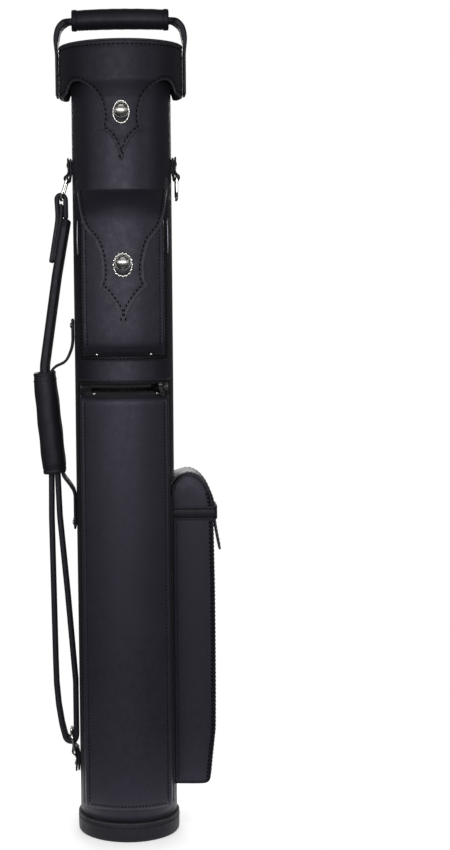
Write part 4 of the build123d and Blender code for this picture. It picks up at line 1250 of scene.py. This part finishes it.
def make_side_flap():
    path = [
        (52.0, 367.0), (51.8, 374.5), (53.2, 382.4), (57.6, 389.9), (64.6, 394.2), (72.8, 393.9),
        (80.8, 389.0), (87.6, 380.3), (92.2, 370.0), (94.6, 362.0), (95.6, 356.0), (95.8, 350.0),
        (96.5, 341.0), (98.2, 330.0), (100.2, 319.0), (102.2, 308.2),
    ]
    path = spline(path, 2.0)
    out = left_of(path)
    along = np.concatenate([[0], np.cumsum(np.linalg.norm(np.diff(path, axis=0), axis=1))])
    over, end = along[np.argmax(path[:, 0] > 94.6)], along[-1]
    stations = [0, over - 22, over - 4, over + 6, end - 7, end - 2, end]
    half = np.interp(along, stations, [SIDE_HALF + 0.4, SIDE_HALF + 0.4, 20.0, 16.6, 16.2, 11.5, 5.0])
    groove, thick = 0.84, 2.3
    across = [0.25, 0.5, 0.7, groove, 0.9, 0.95, 0.985, 1.0]
    across = [-a for a in reversed(across)] + [0] + across
    section = []
    for a in across:
        level = thick / 2 * (0.5 if abs(a) > 0.99 else (0.88 if abs(a) > 0.98 else 1.0))
        section.append((a, level - (0.2 if abs(a) == groove else 0)))
    section += [(a, -thick / 2 * (0.5 if abs(a) > 0.99 else 1.0)) for a in reversed(across)]
    rings, marks = [], []
    for at, away, h in zip(path, out, half):
        near = 1 - float(smooth_step(at[0], 53.0, 66.0))
        ring = []
        for a, level in section:
            y = SIDE_Y + a * h
            hug = near * (TUBE_R - math.sqrt(TUBE_R**2 - y * y))
            ring.append((at[0] + away[0] * level - hug, y, at[1] + away[1] * level))
            marks.append(wear((1 - abs(a)) * h))
        rings.append(ring)
    flap = piece("side_flap_leather", *skin_rings(rings, capped=True), BODY, None, edge=marks)
    side_blend(flap)
    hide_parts("side_pocket_flap")
    rows = []
    for side in (-1, 1):
        points = [(p[0] + w[0], SIDE_Y + side * (h - 3.4), p[1] + w[1]) for p, w, h in zip(path, out, half)]
        normals = [(w[0], 0, w[1]) for w in out]
        rows.append((points[12:-3], normals[12:-3]))
    sewn = stitches("side_flap_stitches", rows, None, 4.4, 3.3, 1.3, 0.75)
    side_blend(sewn)


def make_belt():
    """The belt round the side pocket that the flap's tongue tucks under."""
    low, tall, thick = 343.0, 15.4, 1.8
    back = SIDE_HALF + 0.5
    plan = [
        (49.6, back), (93.4, back), (94.9, back - 1.0), (95.4, back - 4.0), (95.6, 19.4), (97.2, 18.2),
        (98.0, 14.5), (98.1, 0.0),
    ]
    full = spline([(x, -y) for x, y in plan] + plan[-2::-1], 1.6)
    out = -left_of(full)
    section = [(0.0, 0.35), (0.35, 0.85), (1.0, 1.0), (2.4, 1.0), (3.0, 0.86), (3.6, 1.0), (7.7, 1.06)]
    section += [(tall - s, h) for s, h in reversed(section[:-1])]
    rings, marks = [], []
    for at, away in zip(full, out):
        ring = []
        for s, h in section + [(s, 0.0) for s, _ in reversed(section)]:
            lift = thick * (h - 0.5)
            ring.append((at[0] + away[0] * lift, SIDE_Y + at[1] + away[1] * lift, low + s))
            marks.append(wear(min(s, tall - s), 0.8))
        rings.append(ring)
    belt = piece("side_belt", *skin_rings(rings, capped=True), TRIM, "case", "edge_leather", marks)
    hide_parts("side_pocket_belt")
    rows = []
    for height in (low + 3.0, low + tall - 3.0):
        points = [(p[0] + w[0] * 0.75, SIDE_Y + p[1] + w[1] * 0.75, height) for p, w in zip(full, out)]
        rows.append((points, [(w[0], w[1], 0) for w in out]))
    stitches("side_belt_stitches", rows, "case", 4.2, 3.2, 1.05, 0.7)


# ------------------------------------------------------------------ handles, straps and rings

SLEEVE_LOW, SLEEVE_HIGH = np.array([-76.2, 395.0]), np.array([-86.2, 504.0])


def in_sleeve(z, offset):
    share = (z - SLEEVE_LOW[1]) / (SLEEVE_HIGH[1] - SLEEVE_LOW[1])
    return (SLEEVE_LOW[0] + (SLEEVE_HIGH[0] - SLEEVE_LOW[0]) * share + offset, z)


def slot_ring(wide, deep, sides=48):
    """A rounded slot outline: (along Y, along the depth)."""
    points = []
    r = deep / 2
    straight = wide / 2 - r
    for spin in turns(sides):
        y = r * math.cos(spin) + (straight if math.cos(spin) > 0 else -straight)
        points.append((y, r * math.sin(spin)))
    return points


def make_sleeve():
    axis = SLEEVE_HIGH - SLEEVE_LOW
    length = float(np.linalg.norm(axis))
    axis /= length
    out = np.array([-axis[1], axis[0]])
    rings, marks = [], []
    stations = [
        (9.0, 0.0, 38.6, 17.0, 1), (1.2, 0.0, 39.4, 17.6, 1), (0.2, 0.5, 41.6, 19.6, 0),
        (0.0, 1.0, 43.8, 21.2, 0), (0.7, 1.0, 45.4, 22.8, 0), (2.0, 1.0, 46.0, 23.3, 0),
        (3.6, 1.0, 45.8, 23.0, 0), (4.4, 0.0, 45.3, 22.5, 0), (5.6, 0.0, 46.2, 23.3, 0),
    ]
    middle = []
    for share in np.linspace(0.10, 0.90, 21):
        swell = math.sin(math.pi * share)
        middle.append((share * length, 0.0, 46.6 + 1.3 * swell, 23.4 + 1.0 * swell + 1.4 * (1 - share), 0))
    lower = [(s, m, w, d if inner else d + 1.4, inner) for s, m, w, d, inner in stations]
    full = lower + middle + [(length - s, m, w, d, inner) for s, m, w, d, inner in reversed(stations)]
    for s, mark, wide, deep, inner in full:
        centre = SLEEVE_LOW + axis * s
        shift = 1.1 if inner else 0.0
        ring = []
        for y, d in slot_ring(wide, deep):
            sag = 0.25 * math.sin(s * 0.19 + y * 0.2)
            spot = centre + out * (d + (sag if not inner else 0)) + np.array([shift, 0])
            ring.append((spot[0], y, spot[1]))
            marks.append(mark)
        rings.append(ring)
    grip = piece("side_grip", *skin_rings(rings), STRAP, "case", edge=marks)
    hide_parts("side_handle_grip")
    rows = []
    for depth in (9.0, length - 9.0):
        centre = SLEEVE_LOW + axis * depth
        points, normals = [], []
        for y, d in slot_ring(46.9, 24.0, 80):
            spot = centre + out * d
            points.append((spot[0], y, spot[1]))
            normals.append((out[0] * d, y * 0.3, out[1] * d))
        points.append(points[0])
        normals.append(normals[0])
        rows.append((points, normals))
    points = []
    for s in np.linspace(9, length - 9, 40):
        swell = math.sin(math.pi * (0.1 + 0.8 * s / length))
        centre = SLEEVE_LOW + axis * s
        points.append((centre[0], 23.4 + 0.65 * swell, centre[1]))
    rows.append((points, [(0, 1, 0)] * 40))
    stitches("side_grip_stitches", rows, "case", 3.8, 2.7, 0.8, 0.5)


RING_BAR, RING_REACH = 58.2, 23.0
UPPER_RING_Z, LOWER_RING_Z = 710, 88


def ring_foot(degrees, bar_z):
    """Middle of a left ring's curved foot, with the ring swung out from hanging straight down."""
    lean = math.radians(degrees)
    return -RING_BAR - RING_REACH * math.sin(lean), bar_z - RING_REACH * math.cos(lean)


def make_straps():
    hook = ring_foot(18, UPPER_RING_Z)
    main = arc_path([(-60.1, 667.5), (-71.0, 607), in_sleeve(508, 0.8), in_sleeve(455, 0.8)])
    pad = strap("shoulder_pad", main, 36, 10.8, edge_thick=5.8, crown=9.0, pinch=0.16)
    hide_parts("shoulder_strap_main")

    turn = 1.5 + 0.8 + 2.5
    fold = [
        (hook[0] + turn, 668.0), (hook[0] + turn, hook[1] + turn), (hook[0] - turn, hook[1] + turn),
        (-68.9, 668), (-76.8, 621),
    ]
    tab = strap("shoulder_tab", arc_path(fold, step=1.2), 20, 5.0, edge_thick=4.2)
    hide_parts("shoulder_strap_top_tab")

    core = [(-65.2, 683.5), (-65.0, 676.0), (-65.9, 668.0), (-69.9, 645.0), (-74.0, 623.0)]
    strap("shoulder_tab_core", spline(core, 1.5), 19.4, 3.9, rows=False)

    low = ring_foot(170, LOWER_RING_Z)
    bend = 1.5 + 0.8 + 3.0
    run = [
        in_sleeve(449, -3.9), in_sleeve(392, -3.9), (-80.4, 347), (-79.2, 250), (-78.4, 190),
        (-77.8, 163), (-75.8, 139), (-72.4, 117),
    ]
    bottom = low[1] - bend - 6.5
    run += [(low[0] - bend - 0.4, bottom), (low[0] + bend, bottom), (-56.9, 165), (-64.4, 264)]
    run += [(-71.6, 347), in_sleeve(392, 2.7), in_sleeve(449, 2.7)]
    loop = strap("shoulder_loop", arc_path(run, step=1.8), 20, 6.0, edge_thick=4.8)
    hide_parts("shoulder_strap_lower_loop")

    handle = [
        (-54.8, 561), (-54.8, 531), (-62.5, 514.5), (-73.0, 510.5), in_sleeve(505.5, 8.0),
        in_sleeve(392.5, 8.0), (-60.5, 383), (-54.8, 374), (-54.8, 334),
    ]
    carry = strap("side_handle", arc_path(handle, step=1.6), 26, 2.8)
    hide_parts("side_handle_strap")


GRIP_Z = 876.6


def make_top_handle():
    left = [(-67.6, 796.5), (-67.6, 840), (-69.6, 858), (-66.5, 870), (-58, 877)]
    right = [(-x, z) for x, z in reversed(left)]
    path = arc_path(left + right, step=1.8)
    normal = left_of(path)

    def doubling(z):
        """Extra thickness of the strap above the lid, where it is folded double."""
        return 2.8 * float(smooth_step(z, 844.0, 860.0))

    rings, marks = [], []
    for k, (at, out) in enumerate(zip(path, normal)):
        half = 7.5 + 5.5 * float(smooth_step(abs(at[0]), 54.0, 60.5))
        close, extra = min(k, len(path) - 1 - k), doubling(at[1])
        squeeze = 1.0 if close else STRAP_END_SQUEEZE
        ring = []
        for a, h in strap_section(2 * half, 3.2 + extra, 3.0 + extra, 4.0):
            spot = at + out * (h * squeeze - extra / 2)
            ring.append((spot[0], a, spot[1]))
            marks.append(wear(half - abs(a)) if close else 1.0)
        rings.append(ring)
    band = piece("top_handle_leather", *skin_rings(rings, capped=True), STRAP, "lid", edge=marks)
    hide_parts("top_handle_strap")
    rows = []
    for side, face, end in itertools.product((-1, 1), repeat=3):
        run = [(p, n) for p, n in zip(path, normal) if p[0] * end > 61.5]
        lift = [1.4 if face > 0 else -1.4 - doubling(p[1]) for p, _ in run]
        points = [(p[0] + n[0] * h, side * 9.8, p[1] + n[1] * h) for (p, n), h in zip(run, lift)]
        rows.append((points, [(n[0] * face, 0, n[1] * face) for _, n in run]))
    stitches("top_handle_stitches", rows, "lid", 3.9, 2.8, 0.8, 0.5)

    def arch(x):
        return 1.3 * (1 - (x / 52.0) ** 2)

    rings = []
    for x in np.linspace(-47.0, 47.0, 49):
        swell = 10.5 + 0.5 * math.sqrt(max(0.0, 1 - (x / 47.5) ** 2))
        ring = []
        for spin in turns(48):
            from_seam = math.atan2(math.sin(spin + math.pi / 2), math.cos(spin + math.pi / 2))
            wrinkle = 0.10 * math.sin(x * 0.45 + 2.0 * math.sin(spin)) * math.sin(spin * 2 + 0.6)
            r = swell - 0.45 * wear(from_seam, 0.22) + wrinkle
            ring.append((x, r * math.cos(spin), GRIP_Z + arch(x) + r * math.sin(spin)))
        rings.append(ring)
    marks = [0.0] * (len(rings) * len(rings[0]))
    grip = piece("top_grip", *skin_rings(rings, capped=True), STRAP, "lid", edge=marks)
    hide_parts("top_handle_grip")
    seam = [(x, 0.0, GRIP_Z + arch(x) - 10.6) for x in np.linspace(-45, 45, 40)]
    stitches("top_grip_stitches", [(seam, [(0, 0, -1)] * 40)], "lid", 3.8, 2.8, 0.9, 0.6)
    bands = []
    profile = [
        (45.8, 10.4), (46.0, 11.1), (46.8, 11.35), (49.0, 11.3), (50.6, 11.15), (51.4, 10.7),
        (51.6, 9.4),
    ]
    for side in (-1, 1):
        rings = []
        for x, r in profile + [(51.5, 6.0)]:
            rings.append([(side * x, r * math.cos(s), GRIP_Z + 0.2 + r * math.sin(s)) for s in turns(48)])
        bands.append(skin_rings(rings, capped=True))
    rings = piece("top_grip_bands", *join_meshes(bands), TRIM, "lid", "edge_leather")
    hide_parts("top_handle_bands")


def make_ring_tabs():
    for node, side, z, way in (
        ("ring_tab_upper_left", -1, UPPER_RING_Z, 1),
        ("ring_tab_upper_right", 1, UPPER_RING_Z, 1),
        ("ring_tab_lower_left", -1, LOWER_RING_Z, -1),
    ):
        path = [(57.2, 21.6), (56.7, 15.0), (56.5, 8.5), (57.6, 4.6)]
        for k in range(12):
            spin = math.radians(62 - (62 + 194) * k / 11)
            path.append((RING_BAR + 2.95 * math.cos(spin), 2.95 * math.sin(spin)))
        path += [(54.4, 6.0), (54.3, 13.0), (54.3, 20.8)]
        path = [(side * x, z + way * h) for x, h in spline(path, 1.0)]
        made = strap(f"{node}_leather", path, 22, 2.1, rows=False)
        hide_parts(node)
        rows = []
        for y in (-8.2, 8.2):
            points = [(side * 57.9, y, z + way * h) for h in np.linspace(8, 20, 8)]
            rows.append((points, [(side, 0, 0)] * 8))
        stitches(f"{node}_stitches", rows, "case", 3.5, 2.6, 0.8, 0.55)
    heads = []
    for y, z in ((-7, 554), (7, 554), (-7, 341), (7, 341)):
        heads.append(dome((-56.2, y, z), (-1, 0, 0), 3.2, 1.5, 0.4, 20))
    for side, z in ((-1, 725), (1, 725), (-1, 72)):
        heads.append(dome((side * 57.6, 0, z), (side, 0, 0), 3.2, 1.6, 0.4, 20))
    rivets = piece("strap_rivet_heads", *join_meshes(heads), NICKEL, "case", "nickel")
    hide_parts("strap_rivets")


make_tube()
make_base()
make_spine()
make_lid()
make_lock("lid", (18.6, 25.5), 59.65, 773.9, "lid", "lid_button", 0)
make_upper_pocket()
make_flap()
make_lock("flap", (21.5, 26.5), 74.5, 616.5, "pocket_flap", "flap_button", 16)
make_lower_pocket()
make_side_pocket()
make_side_flap()
make_belt()
make_sleeve()
make_straps()
make_top_handle()
make_ring_tabs()

DRESSED = (
    (NICKEL, 0.0, ("d_ring_upper_left", "d_ring_upper_right", "d_ring_lower_left")),
    (BLACK_METAL_AND_PAINTED_SHADE, 0.2, ("lower_pocket_zip_teeth",)),
    (BLACK_METAL_AND_PAINTED_SHADE, 0.25, ("lower_pocket_zip_slider",)),
    (GUNMETAL, 0.25, ("lower_pocket_zip_pull",)),
    (NICKEL, 0.2, ("lid_lock_stud", "flap_lock_stud")),
    (STEEL, 0.0, ("lid_lock_spring", "flap_lock_spring")),
    (SHELL, 0.0, ("outer_shell", "lid_shell", "base_plug")),
    (LINER, 0.0, ("butt_tube_left", "butt_tube_right", *(f"shaft_tube_{k}" for k in range(1, 5)))),
    (FELT, 0.0, ("divider_top_plate", "divider_bottom_plate", "cue_end_pads")),
    (TAPE, 0.0, ("lower_pocket_zip_tape",)),
)
for finish, bevel, dressed_nodes in DRESSED:
    for node in dressed_nodes:
        dress(node, finish, bevel)


# ------------------------------------------------------------------ stage and light


WHITE = (1.0, 1.0, 1.0)
FLOOR_RADIUS, FLOOR_SIDES = 0.22, 96
# The floor's glow is weaker near the case than at the rim: a painted shadow round the base.
SHADOW_POOL_GLOW, GLOW_RIM = 0.52, 1.00
GLOW_FROM, GLOW_TO = 0.05, 0.16


def floor_glow_and_painted_shadow(name, grey):
    """Pale matt paint that glows though it is no lamp: dimmer near the middle, a painted shadow round the
    case's base, and brighter towards the disc's rim.
    """
    look = Look(name)
    cloud = look.noise(3.0, 2.0)
    away = look.add("ShaderNodeVectorMath", {0: look.place}, operation="LENGTH").outputs["Value"]
    return look.finish(
        Base_Color=look.ramp(cloud, (0.2, (0.985 * grey,) * 3), (0.8, (grey,) * 3)),
        Roughness=0.7,
        Specular_IOR_Level=0.1,
        Emission_Color=(*WHITE, 1.0),
        Emission_Strength=look.to_range(away, SHADOW_POOL_GLOW, GLOW_RIM, GLOW_FROM, GLOW_TO),
    )


floor_mesh = bpy.data.meshes.new("floor")
floor_rim = [(FLOOR_RADIUS * math.cos(s), FLOOR_RADIUS * math.sin(s), 0.0) for s in turns(FLOOR_SIDES)]
floor_mesh.from_pydata(floor_rim, [], [tuple(range(FLOOR_SIDES))])
floor_mesh.materials.append(floor_glow_and_painted_shadow("floor_glow_and_painted_shadow", 0.70))
floor = bpy.data.objects.new("floor", floor_mesh)
bpy.context.scene.collection.objects.link(floor)


def soft_light(name, at, aim_height, size, power):
    """A white panel that faces the case's axis at some height."""
    lamp = bpy.data.lights.new(name, "AREA")
    lamp.shape = "RECTANGLE"
    lamp.size, lamp.size_y = size
    lamp.energy = power
    made = bpy.data.objects.new(name, lamp)
    bpy.context.scene.collection.objects.link(made)
    made.location = at
    made.rotation_euler = (Vector((0, 0, aim_height)) - Vector(at)).to_track_quat("-Z", "Y").to_euler()
    return made


soft_light("front_light", (-0.1, -1.75, 0.72), 0.58, (2.2, 0.3), 22)
soft_light("left_light", (-2.0, -1.3, 0.8), 0.55, (1.1, 1.0), 6.5)
soft_light("right_light", (2.0, -1.3, 0.8), 0.55, (1.1, 1.0), 6.5)
soft_light("rear_light", (0.1, 2.3, 1.6), 0.60, (2.0, 1.4), 34)
soft_light("top_light", (0, -1.7, 2.1), 0.7, (1.6, 0.8), 7)

SKY_LIGHT, BACKDROP = 0.085, 1.0
world = bpy.data.worlds.new("studio")
bpy.context.scene.world = world
world.use_nodes = True
world_nodes, world_links = world.node_tree.nodes, world.node_tree.links
choose = world_nodes.new("ShaderNodeMixShader")
ray = world_nodes.new("ShaderNodeLightPath")
world_links.new(ray.outputs["Is Camera Ray"], choose.inputs["Fac"])
for socket, strength, shade in (
    (1, SKY_LIGHT, world_nodes["Background"]),
    (2, BACKDROP, world_nodes.new("ShaderNodeBackground")),
):
    shade.inputs["Color"].default_value = (*WHITE, 1.0)
    shade.inputs["Strength"].default_value = strength
    world_links.new(shade.outputs["Background"], choose.inputs[socket])
world_links.new(choose.outputs["Shader"], world_nodes["World Output"].inputs["Surface"])
